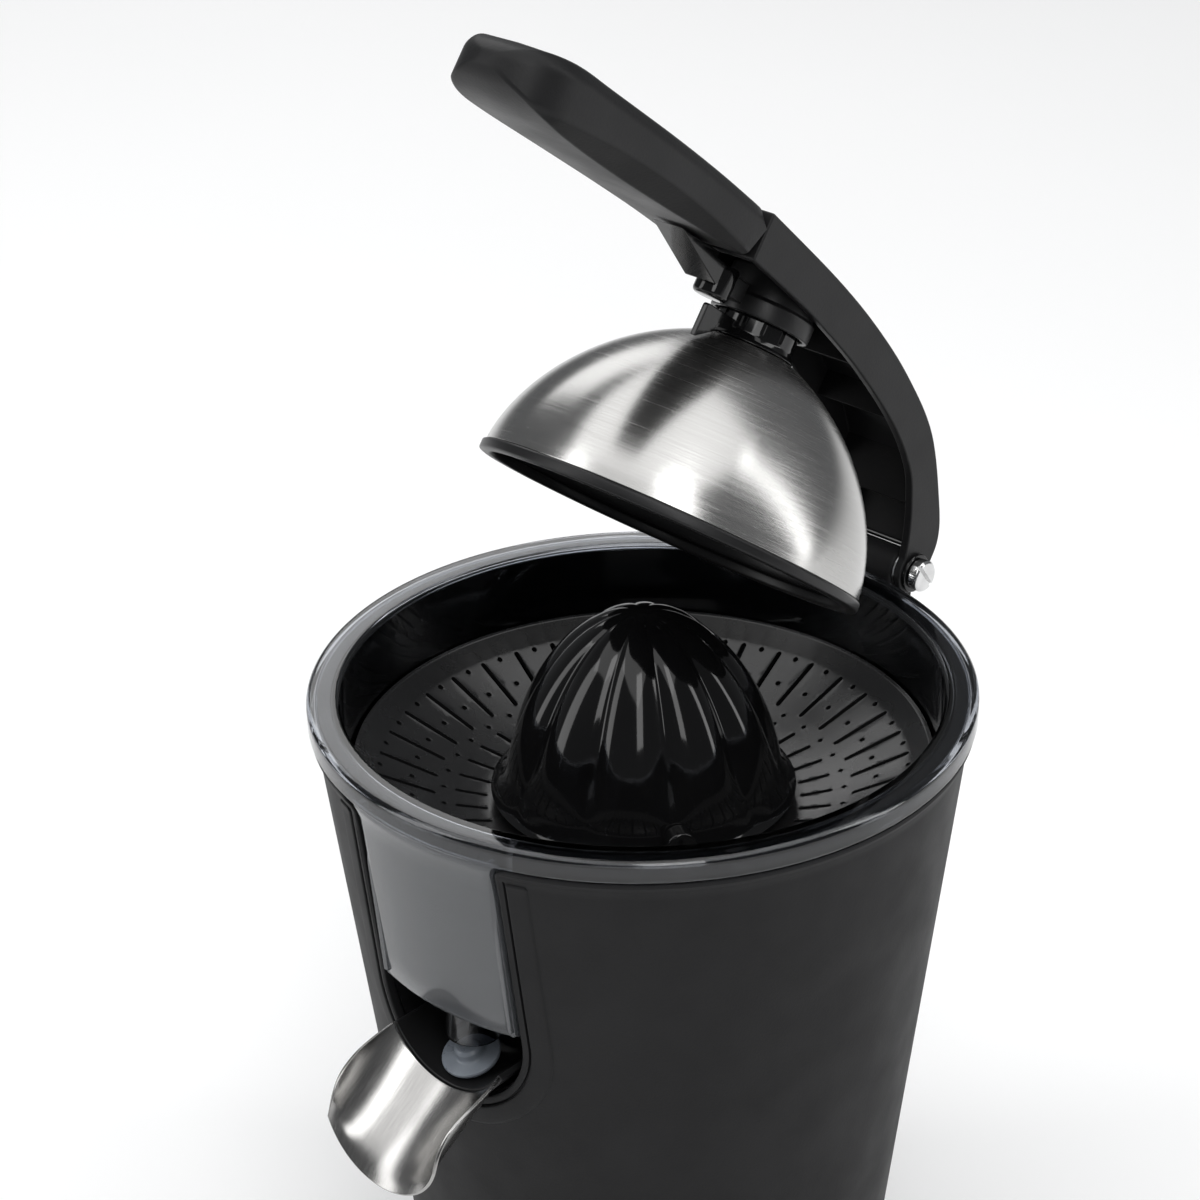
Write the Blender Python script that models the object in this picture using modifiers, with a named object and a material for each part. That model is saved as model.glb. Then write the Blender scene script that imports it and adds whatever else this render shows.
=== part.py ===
"""Citrus press juicer: a tapered drive base with a clear juice collector, a
strainer, a ribbed reamer, a flip spout and a long press lever with a steel dome.

Run with  blender --background --python part.py  or from the text editor.
Frame: metres, +Z up, the spout and the end of the lever point to -Y, the lever's
hinge is at +Y, and the part is mirror-symmetric about X = 0.
"""
import math
import bpy
import bmesh
from mathutils import Matrix, Vector

MM = 0.001

# ---------------------------------------------------------------- dimensions
H_RIM = 205.0            # rim of the collector above the table
R_RIM = 90.0             # outer radius of the clear rim
Y_SHIFT = -1.62          # puts the middle of the whole part's depth at Y = 0
GAP = 0.3                # gap between neighbours that touch

TAPER = 0.126            # housing radius lost per mm going down
R_BODY = 87.3            # housing outer radius at Z_BODY
Z_BODY = 193.0
WALL = 2.6
Z_HOUSING = 3.0          # lower edge of the housing
Z_HOUSING_TOP = 202.4

WIN_HALF = 25.0          # half width of the front opening, and its round bottom
WIN_Z = 139.0            # centre of the round bottom
BORDER_R = 33.5          # half width of the border round the opening

HINGE_Y, HINGE_Z = 97.0, H_RIM
OPEN_DEG = 38.6          # how far the lever is up, from its lowest position
ARM_HALF = 16.0          # half width of the arm and the grip
EAR_R = 6.3              # arm end around the pin
PIN_R = 2.5
LUG_HALF = 12.4          # half width of the housing's hinge lug

DOME_Y = 3.5 - HINGE_Y   # dome axis, from the hinge, lever down
DOME_Z = -21.5           # dome rim, from the hinge, lever down
DOME_R = 53.7
DOME_H = 53.5
DOME_POW = 1.75          # fullness of the dome's shoulder
NECK_R = 11.5
COLLAR_R = 14.0

CONE_BOTTOM = 173.8
CONE_TOP = 227.0
CONE_LOBES = 10
PRESS_TRAVEL = 2.5

SPOUT_Y, SPOUT_Z = -54.6, 122.6      # spout's pivot
NOZZLE_Y = -68.5

MODULE = 1.0
TEETH_SMALL, TEETH_LARGE = 12, 30
CENTRES = MODULE * (TEETH_SMALL + TEETH_LARGE) / 2 + 0.25
MOTOR_Y = 26.0
COMP_Y = MOTOR_Y / 2
COMP_X = math.sqrt(CENTRES ** 2 - COMP_Y ** 2)
TO_WHEEL = math.atan2(COMP_Y - MOTOR_Y, COMP_X)     # motor axis to compound axis
TO_OUTPUT = math.atan2(-COMP_Y, -COMP_X)            # compound axis to reamer axis


def body_r(z):
    """Outer radius of the tapered housing at height z."""
    return R_BODY - TAPER * (Z_BODY - z)


# ---------------------------------------------------------------- scene set-up
for ob in list(bpy.data.objects):
    bpy.data.objects.remove(ob, do_unlink=True)
for block in (bpy.data.meshes, bpy.data.curves, bpy.data.materials, bpy.data.collections):
    for item in list(block):
        block.remove(item)

PARTS = bpy.data.collections.new("citrus_press_juicer")
CUTS = bpy.data.collections.new("cutters")
bpy.context.scene.collection.children.link(PARTS)
bpy.context.scene.collection.children.link(CUTS)


def material(name, rgb, rough, metal=0.0, alpha=1.0):
    m = bpy.data.materials.new(name)
    m.use_nodes = True
    p = m.node_tree.nodes["Principled BSDF"]
    p.inputs["Base Color"].default_value = (*rgb, 1.0)
    p.inputs["Roughness"].default_value = rough
    p.inputs["Metallic"].default_value = metal
    p.inputs["Alpha"].default_value = alpha
    m.diffuse_color = (*rgb, alpha)
    return m


M_SOFT = material("soft_black", (0.035, 0.035, 0.037), 0.62)
M_SATIN = material("satin_black", (0.02, 0.02, 0.021), 0.42)
M_GRIP = material("grip_black", (0.045, 0.045, 0.047), 0.55)
M_GLOSS = material("gloss_black", (0.008, 0.008, 0.009), 0.08)
M_CLEAR = material("smoke_clear", (0.55, 0.57, 0.6), 0.05, alpha=0.35)
M_STEEL = material("brushed_steel", (0.62, 0.61, 0.59), 0.28, 1.0)
M_CHROME = material("bright_steel", (0.75, 0.75, 0.75), 0.15, 1.0)
M_SILICONE = material("silicone", (0.6, 0.64, 0.68), 0.45)
M_RUBBER = material("rubber", (0.02, 0.02, 0.02), 0.8)
M_ZINC = material("zinc_steel", (0.55, 0.56, 0.57), 0.38, 1.0)
M_NYLON = material("nylon", (0.78, 0.76, 0.7), 0.5)
M_BRONZE = material("bronze", (0.55, 0.38, 0.2), 0.35, 1.0)
M_CASE = material("inner_plastic", (0.12, 0.12, 0.125), 0.55)


# ---------------------------------------------------------------- helpers
def empty(name, loc, rot_x=0.0, parent=None):
    e = bpy.data.objects.new(name, None)
    e.empty_display_size = 0.02
    e.location = Vector(loc) * MM
    e.rotation_euler = (math.radians(rot_x), 0, 0)
    e.parent = parent
    PARTS.objects.link(e)
    return e


ORIGIN = empty("origin", (0, Y_SHIFT, 0))
LEVER = empty("lever_pivot", (0, HINGE_Y, HINGE_Z), -OPEN_DEG, ORIGIN)
DOME = empty("dome_pivot", (0, DOME_Y, 50.0), 0, LEVER)
SPOUT = empty("spout_pivot", (0, SPOUT_Y, SPOUT_Z), 0, ORIGIN)
MOTOR = empty("motor_axis", (0, MOTOR_Y, 0), 0, ORIGIN)
COMPOUND = empty("compound_axis", (COMP_X, COMP_Y, 0), 0, ORIGIN)


def place(name, mesh, mat, parent=None, loc=(0, 0, 0), cutter=False):
    ob = bpy.data.objects.new(name, mesh)
    ob.location = Vector(loc) * MM
    ob.parent = parent or ORIGIN
    (CUTS if cutter else PARTS).objects.link(ob)
    if cutter:
        ob.hide_render = True
        ob.display_type = 'WIRE'
    else:
        mesh.materials.append(mat.copy())
        ob.data.materials[0].name = name
    return ob


def smooth(ob, angle=35.0):
    ob.data.shade_smooth()
    ob.data.set_sharp_from_angle(angle=math.radians(angle))
    return ob


def lathe(name, profile, mat, steps=32, parent=None, loc=(0, 0, 0), closed=True, cutter=False):
    """Turned solid. The profile's points (radius, height) run down the outer side."""
    me = bpy.data.meshes.new(name)
    bm = bmesh.new()
    vs = [bm.verts.new((r * MM, 0, z * MM)) for r, z in profile]
    for a, b in zip(vs, vs[1:]):
        bm.edges.new((a, b))
    if closed:
        bm.edges.new((vs[-1], vs[0]))
    bm.to_mesh(me)
    bm.free()
    ob = place(name, me, mat, parent, loc, cutter)
    s = ob.modifiers.new("turn", 'SCREW')
    s.angle = math.radians(360)
    s.axis = 'Z'
    s.steps = steps
    s.render_steps = steps
    s.use_merge_vertices = True
    s.merge_threshold = 0.00001
    s.use_smooth_shade = True
    return ob


def rod(name, r, z0, z1, mat, steps=24, parent=None, loc=(0, 0, 0), cutter=False):
    return lathe(name, [(0, z1), (r, z1), (r, z0), (0, z0)], mat, steps, parent, loc, False, cutter)


def tube(name, ro, ri, z0, z1, mat, steps=24, parent=None, loc=(0, 0, 0), cutter=False):
    return lathe(name, [(ro, z1), (ro, z0), (ri, z0), (ri, z1)], mat, steps, parent, loc, True, cutter)


PLANES = {
    'XY': Matrix.Identity(4),
    'YZ': Matrix(((0, 0, 1, 0), (1, 0, 0, 0), (0, 1, 0, 0), (0, 0, 0, 1))),
    'XZ': Matrix(((1, 0, 0, 0), (0, 0, -1, 0), (0, 1, 0, 0), (0, 0, 0, 1))),
}


def slab(name, outlines, half, plane, centre, mat, parent=None, loc=(0, 0, 0), cutter=False):
    """Flat outline, or an outline with holes, extruded by half its thickness each way."""
    cu = bpy.data.curves.new(name + "_outline", 'CURVE')
    cu.dimensions = '2D'
    cu.fill_mode = 'BOTH'
    cu.extrude = half * MM
    for pts in outlines:
        sp = cu.splines.new('POLY')
        sp.points.add(len(pts) - 1)
        for p, (u, v) in zip(sp.points, pts):
            p.co = (u * MM, v * MM, 0, 1)
        sp.use_cyclic_u = True
    tmp = bpy.data.objects.new(name + "_outline", cu)
    CUTS.objects.link(tmp)
    dg = bpy.context.evaluated_depsgraph_get()
    me = bpy.data.meshes.new_from_object(tmp.evaluated_get(dg))
    me.name = name
    bpy.data.objects.remove(tmp, do_unlink=True)
    bpy.data.curves.remove(cu)
    bm = bmesh.new()
    bm.from_mesh(me)
    bmesh.ops.remove_doubles(bm, verts=bm.verts, dist=0.000002)
    bm.transform(Matrix.Translation((0, 0, 0)) @ PLANES[plane])
    off = {'XY': (0, 0, centre), 'YZ': (centre, 0, 0), 'XZ': (0, centre, 0)}[plane]
    bm.transform(Matrix.Translation(Vector(off) * MM))
    bmesh.ops.recalc_face_normals(bm, faces=bm.faces)
    bm.to_mesh(me)
    bm.free()
    me.materials.clear()
    return place(name, me, mat, parent, loc, cutter)


def block(name, lo, hi, mat=None, parent=None, cutter=False):
    me = bpy.data.meshes.new(name)
    bm = bmesh.new()
    bmesh.ops.create_cube(bm, size=1.0)
    lo, hi = Vector(lo) * MM, Vector(hi) * MM
    bm.transform(Matrix.Translation((lo + hi) / 2) @ Matrix.Diagonal((*(hi - lo), 1)))
    bm.to_mesh(me)
    bm.free()
    return place(name, me, mat, parent, (0, 0, 0), cutter)


def xrod(name, r, x0, x1, y, z, mat=None, segs=20, parent=None, cutter=False):
    """Cylinder along X."""
    me = bpy.data.meshes.new(name)
    bm = bmesh.new()
    bmesh.ops.create_cone(bm, cap_ends=True, segments=segs, radius1=r * MM, radius2=r * MM,
                          depth=(x1 - x0) * MM)
    bm.transform(Matrix.Translation(Vector(((x0 + x1) / 2, y, z)) * MM)
                 @ Matrix.Rotation(math.radians(90), 4, 'Y'))
    bm.to_mesh(me)
    bm.free()
    return place(name, me, mat, parent, (0, 0, 0), cutter)


def yrod(name, r, y0, y1, x, z, mat=None, segs=32, parent=None, cutter=False):
    """Cylinder along Y."""
    me = bpy.data.meshes.new(name)
    bm = bmesh.new()
    bmesh.ops.create_cone(bm, cap_ends=True, segments=segs, radius1=r * MM, radius2=r * MM,
                          depth=(y1 - y0) * MM)
    bm.transform(Matrix.Translation(Vector((x, (y0 + y1) / 2, z)) * MM)
                 @ Matrix.Rotation(math.radians(90), 4, 'X'))
    bm.to_mesh(me)
    bm.free()
    return place(name, me, mat, parent, (0, 0, 0), cutter)


def boolean(ob, other, op='DIFFERENCE'):
    m = ob.modifiers.new(op.lower(), 'BOOLEAN')
    m.operation = op
    m.object = other
    m.solver = 'EXACT'
    return ob


def bevel(ob, width, segments=2, angle=40.0):
    b = ob.modifiers.new("edges", 'BEVEL')
    b.width = width * MM
    b.segments = segments
    b.limit_method = 'ANGLE'
    b.angle_limit = math.radians(angle)
    b.harden_normals = False
    return ob


def spline(points, per=4):
    """Smooth line through points (Catmull-Rom)."""
    out = []
    p = [points[0]] + list(points) + [points[-1]]
    for i in range(1, len(p) - 2):
        for k in range(per):
            t = k / per
            row = []
            for c in (0, 1):
                a, b, d, e = p[i - 1][c], p[i][c], p[i + 1][c], p[i + 2][c]
                row.append(0.5 * (2 * b + (d - a) * t + (2 * a - 5 * b + 4 * d - e) * t * t
                                  + (3 * b - a - 3 * d + e) * t ** 3))
            out.append(tuple(row))
    out.append(tuple(points[-1]))
    return out


def arc(cx, cy, r, a0, a1, n):
    return [(cx + r * math.cos(math.radians(a0 + (a1 - a0) * i / n)),
             cy + r * math.sin(math.radians(a0 + (a1 - a0) * i / n))) for i in range(n + 1)]


def u_outline(half, zc, top, n=12):
    """Upright U: straight sides and a round bottom, as (x, z)."""
    return [(half, top)] + [(-half, top)] + arc(0, zc, half, 180, 360, n)


def gear(teeth, hole, phase, clearance=0.2, sides=20):
    """Involute spur gear outline with its bore; a tooth points along phase."""
    rp = MODULE * teeth / 2
    rb = rp * math.cos(math.radians(20))
    ra, rf = rp + 0.85 * MODULE, rp - 1.2 * MODULE
    inv = math.tan(math.radians(20)) - math.radians(20)
    half = math.pi / (2 * teeth) - clearance / rp / 2
    pts = []
    for t in range(teeth):
        mid = phase + 2 * math.pi * t / teeth
        flank = []
        for r in (rf, rp, ra):
            if r > rb:
                a = math.acos(rb / r)
                off = half + inv - (math.tan(a) - a)
            else:
                off = half + inv
            flank.append((r, max(off, 0.012)))
        for r, o in flank:
            pts.append((r, mid - o))
        for r, o in reversed(flank):
            pts.append((r, mid + o))
    outer = [(r * math.cos(a), r * math.sin(a)) for r, a in pts]
    inner = arc(0, 0, hole, 0, 360 * (sides - 1) / sides, sides - 1)
    return [outer, inner]


# ================================================================= drive base
# Housing: tapered shell, open at the top and bottom.
housing = lathe("housing_shell", [
    (R_BODY, Z_HOUSING_TOP), (R_BODY, 198.2), (89.3, 198.0), (89.4, 196.9), (88.4, 195.4),
    (R_BODY + 0.2, Z_BODY), (body_r(Z_HOUSING), Z_HOUSING),
    (body_r(Z_HOUSING) - WALL, Z_HOUSING), (body_r(Z_BODY) - WALL, Z_BODY - 4),
    (83.5, Z_HOUSING_TOP)], M_SOFT, 72)
win_out = [(WIN_HALF, 230), (-WIN_HALF, 230)] + arc(0, WIN_Z, WIN_HALF, 180, 360, 14)
# A raised frame runs round the opening and stands 0.6 mm out of the wall.
border = slab("window_frame_band", [u_outline(BORDER_R, WIN_Z, 191.5, 16)], 12, 'XZ', -74,
              M_SOFT, cutter=True)
border_skin = lathe("window_frame_skin", [
    (body_r(191.5) + 0.6, 191.5), (body_r(100) + 0.6, 100), (body_r(100) - 1.5, 100),
    (body_r(191.5) - 1.5, 191.5)], M_SOFT, 72, cutter=True)
boolean(border, border_skin, 'INTERSECT')
boolean(housing, border, 'UNION')
opening = slab("window_opening", [win_out], 20, 'XZ', -78, M_SOFT, cutter=True)
boolean(housing, opening)
# Hinge lug at the back, one with the shell, between the arm's two ears.
lug_pts = ([(90.9, H_RIM - 12.6), (90.9, HINGE_Z)]
           + arc(HINGE_Y, HINGE_Z, 5.7, 165, 0, 8)
           + [(101.6, HINGE_Z - 10), (97.5, 182), (84.5, 150), (81.2, 152), (84.6, H_RIM - 12.6)])
lug = slab("hinge_lug", [lug_pts], LUG_HALF, 'YZ', 0, M_SOFT, cutter=True)
boolean(housing, lug, 'UNION')
boolean(housing, xrod("lug_bore", PIN_R + GAP, -20, 20, HINGE_Y, HINGE_Z, cutter=True))
boolean(housing, yrod("cord_hole", 5.0, 55, 75, 0, 26, segs=20, cutter=True))

base = rod("base_plate", body_r(Z_HOUSING) - WALL - GAP, 3.4, 6.4, M_CASE, 40)
POSTS = [(46 * sx, 22 * sy) for sx, sy in ((1, 1), (-1, 1), (-1, -1), (1, -1))]
for i, (sx, sy) in enumerate(((1, 1), (-1, 1), (-1, -1), (1, -1)), 1):
    fx, fy = 36.8 * sx, 36.8 * sy
    lathe(f"foot_{i}", [(0, 3.1), (7.5, 3.1), (7.5, 1.0), (6.5, 0), (0, 0)], M_RUBBER, 14,
          loc=(fx, fy, 0), closed=False)
    sxx, syy = POSTS[i - 1]
    boolean(base, rod(f"base_screw_hole_{i}", 2.1, 0, 10, None, 12, loc=(sxx, syy, 0), cutter=True))
    lathe(f"base_screw_{i}", [(0, 3.1), (3.2, 3.1), (3.2, 1.6), (0, 1.6)], M_ZINC, 10,
          loc=(sxx, syy, 0), closed=False)
    screw = bpy.data.objects[f"base_screw_{i}"]
    boolean(screw, rod(f"base_screw_shank_{i}", 1.6, 2.5, 13.5, None, 6, loc=(sxx, syy, 0),
                       cutter=True), 'UNION')

# Cord inlet bush in the back wall.
inlet = yrod("cord_inlet", 4.6, 58.0, 70.0, 0, 26, M_RUBBER, 20)
boolean(inlet, yrod("cord_inlet_collar", 7.0, 68.2, 70.6, 0, 26, segs=20, cutter=True), 'UNION')
boolean(inlet, yrod("cord_inlet_bore", 3.0, 50, 80, 0, 26, segs=16, cutter=True))

# Deck under the collector, with a bay for the spout.
deck = rod("drive_deck", body_r(135) - WALL - GAP - 0.6, 134.2, 137.2, M_CASE, 48)
boolean(deck, block("deck_bay_cut", (-27.2, -90, 130), (27.2, -46.9, 141), cutter=True))
boolean(deck, rod("deck_bore", 9.6, 130, 141, None, 24, cutter=True))
bay = slab("spout_bay", [u_outline(26.6, WIN_Z, 140.6, 14)], 14.5, 'XZ', -61.8, M_SATIN)
boolean(bay, slab("spout_bay_cut", [u_outline(24.6, WIN_Z, 150, 14)], 14.5, 'XZ', -63.6, None, cutter=True))
boolean(bay, lathe("spout_bay_trim", [(120, 150), (120, 100), (body_r(100) - WALL - GAP, 100),
                                      (body_r(150) - WALL - GAP, 150)], None, 72, cutter=True))
boolean(bay, xrod("spout_bay_bore", 1.85, -30, 30, SPOUT_Y, SPOUT_Z, segs=14, cutter=True))

# ================================================================= drive train
can = lathe("motor_can", [(0, 74), (26, 74), (28, 72), (28, 16), (26, 14), (0, 14)], M_ZINC, 32,
            MOTOR, closed=False)
boolean(can, rod("motor_can_bore", 3.4, 60, 80, None, 16, MOTOR, cutter=True))
rod("motor_shaft", 3.0, 62, 97, M_CHROME, 16, MOTOR)
slab("motor_pinion", gear(TEETH_SMALL, 3.3, TO_WHEEL, sides=12), 5.5, 'XY', 89.5, M_BRONZE, MOTOR)

wheel = slab("compound_gear", gear(TEETH_LARGE, 2.4, TO_WHEEL + math.pi + math.pi / TEETH_LARGE, sides=12), 3.0, 'XY', 89.0, M_NYLON, COMPOUND)
boolean(wheel, slab("compound_pinion", gear(TEETH_SMALL, 2.4, TO_OUTPUT, sides=12), 6.0, 'XY', 97.2, None,
                    COMPOUND, cutter=True), 'UNION')
rod("compound_axle", 2.0, 80.2, 106.5, M_CHROME, 12, COMPOUND)

slab("output_gear", gear(TEETH_LARGE, 4.3, TO_OUTPUT + math.pi + math.pi / TEETH_LARGE, sides=16), 3.0, 'XY', 99.0, M_NYLON)
shaft = rod("output_shaft", 4.0, 79.2, 172.0, M_CHROME, 20)
boolean(shaft, block("shaft_flat", (2.9, -6, 160), (8, 6, 180), cutter=True))
tube("snap_ring", 6.8, 4.3, 121.4, 122.9, M_ZINC, 20)
tube("lower_bush", 7.0, 4.3, 75.6, 85.0, M_BRONZE, 20)
tube("upper_bush", 9.2, 4.35, 133.0, 138.0, M_BRONZE, 24)
lathe("shaft_seal", [(7.6, 143.0), (9.4, 141.4), (9.4, 138.3), (4.35, 138.3), (4.35, 142.0),
                     (6.0, 143.0)], M_RUBBER, 24)

gbase = rod("gearbox_base", 58.0, 79.0, 82.0, M_CASE, 32)
for i, (px, py) in enumerate(POSTS):
    boolean(gbase, rod(f"gearbox_column_{i}", 3.6, 81, 104.2, None, 8, loc=(px, py, 0),
                       cutter=True), 'UNION')
    boolean(gbase, rod(f"gearbox_column_bore_{i}", 1.6, 92, 110, None, 8, loc=(px, py, 0), cutter=True))
    post = rod(f"support_post_{i + 1}", 4.2, 6.7, 78.7, M_CASE, 10, loc=(px, py, 0))
    boolean(post, rod(f"support_post_bore_{i}", 2.0, 0, 16, None, 8, loc=(px, py, 0), cutter=True))
boolean(gbase, rod("gearbox_base_bore", 7.3, 70, 90, None, 20, cutter=True))
boolean(gbase, rod("gearbox_motor_bore", 8.5, 70, 90, None, 20, MOTOR, cutter=True))
boolean(gbase, rod("gearbox_axle_bore", 2.3, 80, 90, None, 12, COMPOUND, cutter=True))

cover = rod("gearbox_cover", 58.0, 104.5, 107.0, M_CASE, 32)
boolean(cover, rod("cover_bore", 6.0, 100, 110, None, 20, cutter=True))
boolean(cover, rod("cover_axle_bore", 2.3, 100, 110, None, 12, COMPOUND, cutter=True))
for i, (px, py) in enumerate(POSTS):
    boolean(cover, rod(f"cover_screw_hole_{i}", 1.6, 100, 110, None, 10, loc=(px, py, 0), cutter=True))
    s = lathe(f"cover_screw_{i + 1}", [(0, 109.2), (2.4, 109.2), (2.9, 108.2), (2.9, 107.3), (0, 107.3)],
              M_ZINC, 10, loc=(px, py, 0), closed=False)
    boolean(s, rod(f"cover_screw_shank_{i}", 1.3, 94, 108, None, 6, loc=(px, py, 0), cutter=True), 'UNION')

# Press carriage: the reamer's thrust is taken by a plate that works the switch.
carriage = slab("press_carriage", [
    arc(0, 0, 12, -150, 150, 16) + [(-34, 5), (-34, -5)],
    arc(0, 0, 4.5, 0, 342, 19)], 1.5, 'XY', 119.6, M_NYLON)
# Return spring: a coil of round wire between the gearbox cover and the carriage.
spring_turns, spring_r, spring_wire = 4.0, 8.6, 0.55
cu = bpy.data.curves.new("return_spring", 'CURVE')
cu.dimensions = '3D'
cu.bevel_depth = spring_wire * MM
cu.bevel_resolution = 1
cu.use_fill_caps = True
sp = cu.splines.new('POLY')
n_spring = int(spring_turns * 10)
sp.points.add(n_spring)
z_lo, z_hi = 107.3 + spring_wire, 117.8 - spring_wire
for i, p in enumerate(sp.points):
    t = i / n_spring
    a = 2 * math.pi * spring_turns * t
    p.co = (spring_r * math.cos(a) * MM, spring_r * math.sin(a) * MM,
            (z_lo + (z_hi - z_lo) * t) * MM, 1)
spring = bpy.data.objects.new("return_spring", cu)
spring.parent = ORIGIN
cu.materials.append(M_ZINC.copy())
PARTS.objects.link(spring)

switch = block("microswitch", (-40, -3.2, 107.3), (-20, 3.2, 115.2), M_GLOSS)
boolean(switch, rod("switch_well", 2.1, 109.8, 120, None, 12, loc=(-30, 0, 0), cutter=True))
rod("switch_plunger", 1.7, 112.6, 117.8, M_NYLON, 12, loc=(-30, 0, 0))

# ================================================================= juice path
# Collector: clear bowl with a flanged rim, a chimney for the shaft, a front
# window that fills the housing's opening, and the outlet nozzle.
collector = lathe("juice_collector", [
    (82.9, 203.0), (79.4, 177.0), (76.0, 146.0), (72.0, 141.0), (10.9, 141.0), (9.9, 145.0),
    (8.6, 162.0), (10.4, 162.0), (12.0, 147.0), (15.0, 143.0), (71.0, 143.0), (73.9, 147.5),
    (75.6, 177.6), (78.6, 178.4), (81.0, 204.0), (82.0, 205.0), (89.0, 205.0), (R_RIM, 204.0),
    (R_RIM, 198.6), (87.9, 198.6), (87.9, 203.0)][::-1], M_CLEAR, 40)
front = block("collector_front", (-23.4, -95, 141.0), (23.4, -62, 203.5), cutter=True)
front_trim = lathe("collector_front_trim", [
    (88.4, 203.8), (88.4, 198.0), (body_r(193) - 0.2, 193), (body_r(130) - 0.2, 130), (70, 130),
    (72.8, 143), (74.6, 147), (77.0, 177.6), (79.1, 178.6), (81.4, 200), (81.8, 203.8)], None, 48, cutter=True)
boolean(front, front_trim, 'INTERSECT')
boolean(collector, front, 'UNION')
hollow = block("collector_hollow", (-21.4, -95, 143.0), (21.4, -60, 195.0), cutter=True)
hollow_trim = lathe("collector_hollow_trim", [
    (body_r(200) - 2.4, 200), (body_r(130) - 2.4, 130), (55, 130), (55, 200)], None, 48, cutter=True)
boolean(hollow, hollow_trim, 'INTERSECT')
boolean(collector, hollow)
boolean(collector, rod("nozzle", 7.7, 128.0, 142.0, None, 24, loc=(0, NOZZLE_Y, 0), cutter=True), 'UNION')
boolean(collector, rod("nozzle_bore", 5.9, 120.0, 150.0, None, 24, loc=(0, NOZZLE_Y, 0), cutter=True))

# Strainer: a shallow perforated dish that hangs in the collector.
strainer = lathe("strainer_basket", [
    (78.7, 184.8), (78.2, 179.0), (74.9, 178.0), (56, 171.4), (44, 168.2), (13, 167.4),
    (13, 169.2), (44, 170.0), (56, 173.2), (72.2, 179.9), (77.6, 184.8)],
    M_SATIN, 40)
slot_bm = bmesh.new()
for row, (r0, r1, count, phase) in enumerate(((59.5, 71.0, 12, 0.0), (46.0, 56.5, 12, 0.5))):
    for k in range(count):
        a = 2 * math.pi * (k + phase) / count
        rm = (r0 + r1) / 2
        geom = bmesh.ops.create_cube(slot_bm, size=1.0)
        bmesh.ops.transform(slot_bm, verts=geom['verts'], matrix=(
            Matrix.Rotation(a, 4, 'Z') @ Matrix.Translation(Vector((rm, 0, 174)) * MM)
            @ Matrix.Diagonal(((r1 - r0) * MM, 1.5 * MM, 16 * MM, 1))))
slot_me = bpy.data.meshes.new("strainer_slots")
slot_bm.to_mesh(slot_me)
slot_bm.free()
boolean(strainer, place("strainer_slots", slot_me, None, cutter=True))

# Reamer: ribbed cone with a flared skirt, hollow inside, with a hub on the shaft.
def cone_r(t):
    """Mean radius from the skirt (t = 0) to the tip (t = 1)."""
    if t < 0.12:
        return 41.6 - (41.6 - 37.6) * (t / 0.12) ** 0.7
    u = (t - 0.12) / 0.88
    return 37.6 * math.sqrt(max(0.0, 1 - u ** 1.75)) * (1 - 0.10 * u)


cone_levels = [0, 0.12, 0.28, 0.46, 0.64, 0.8, 0.92]
segs = CONE_LOBES * 4
bm = bmesh.new()
rings = []
for t in cone_levels:
    depth = 0.0 if t < 0.04 else 0.06 * min(1, (t - 0.04) / 0.2)
    ring = []
    for k in range(segs):
        a = 2 * math.pi * k / segs
        r = cone_r(t) * (1 - depth * (0.5 - 0.5 * math.cos(CONE_LOBES * a)))
        ring.append(bm.verts.new((r * math.cos(a) * MM, r * math.sin(a) * MM,
                                  (CONE_BOTTOM + (CONE_TOP - CONE_BOTTOM) * t) * MM)))
    rings.append(ring)
for lo, hi in zip(rings, rings[1:]):
    for k in range(segs):
        bm.faces.new((lo[k], lo[(k + 1) % segs], hi[(k + 1) % segs], hi[k]))
tip = bm.verts.new((0, 0, CONE_TOP * MM))
for k in range(segs):
    bm.faces.new((rings[-1][k], rings[-1][(k + 1) % segs], tip))
cone_me = bpy.data.meshes.new("reamer_cone")
bm.to_mesh(cone_me)
bm.free()
cone = place("reamer_cone", cone_me, M_GLOSS)
sol = cone.modifiers.new("wall", 'SOLIDIFY')
sol.thickness = 2.0 * MM
sol.offset = -1.0
boolean(cone, rod("cone_hub", 7.2, 165.6, 225.0, None, 20, cutter=True), 'UNION')
boolean(cone, rod("cone_socket", 4.3, 150, 174.0, None, 20, cutter=True))

# ================================================================= spout
# Carrier: black inner trough with the stopper's post and the pivot ears.
def trough(name, stations, wall, mat, cut=0.0, parent=None, cutter=False):
    """Open U-shaped sheet swept along -Y; stations are (y, centre z, radius, top edge z)."""
    b = bmesh.new()
    rows = []
    n = 14
    for y, zc, r, ztop in stations:
        a = math.degrees(math.asin(max(-1, min(1, (ztop - zc) / r))))
        rows.append([b.verts.new(Vector((px, y - SPOUT_Y, pz - SPOUT_Z)) * MM)
                     for px, pz in arc(0, zc, r, 180 - a, 360 + a, n)])
    for p, q in zip(rows, rows[1:]):
        for k in range(n):
            b.faces.new((p[k], q[k], q[k + 1], p[k + 1]))
    bmesh.ops.recalc_face_normals(b, faces=b.faces)
    me = bpy.data.meshes.new(name)
    b.to_mesh(me)
    b.free()
    ob = place(name, me, mat, parent or SPOUT, cutter=cutter)
    s = ob.modifiers.new("sheet", 'SOLIDIFY')
    s.thickness = wall * MM
    s.offset = 1.0
    return ob


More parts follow.
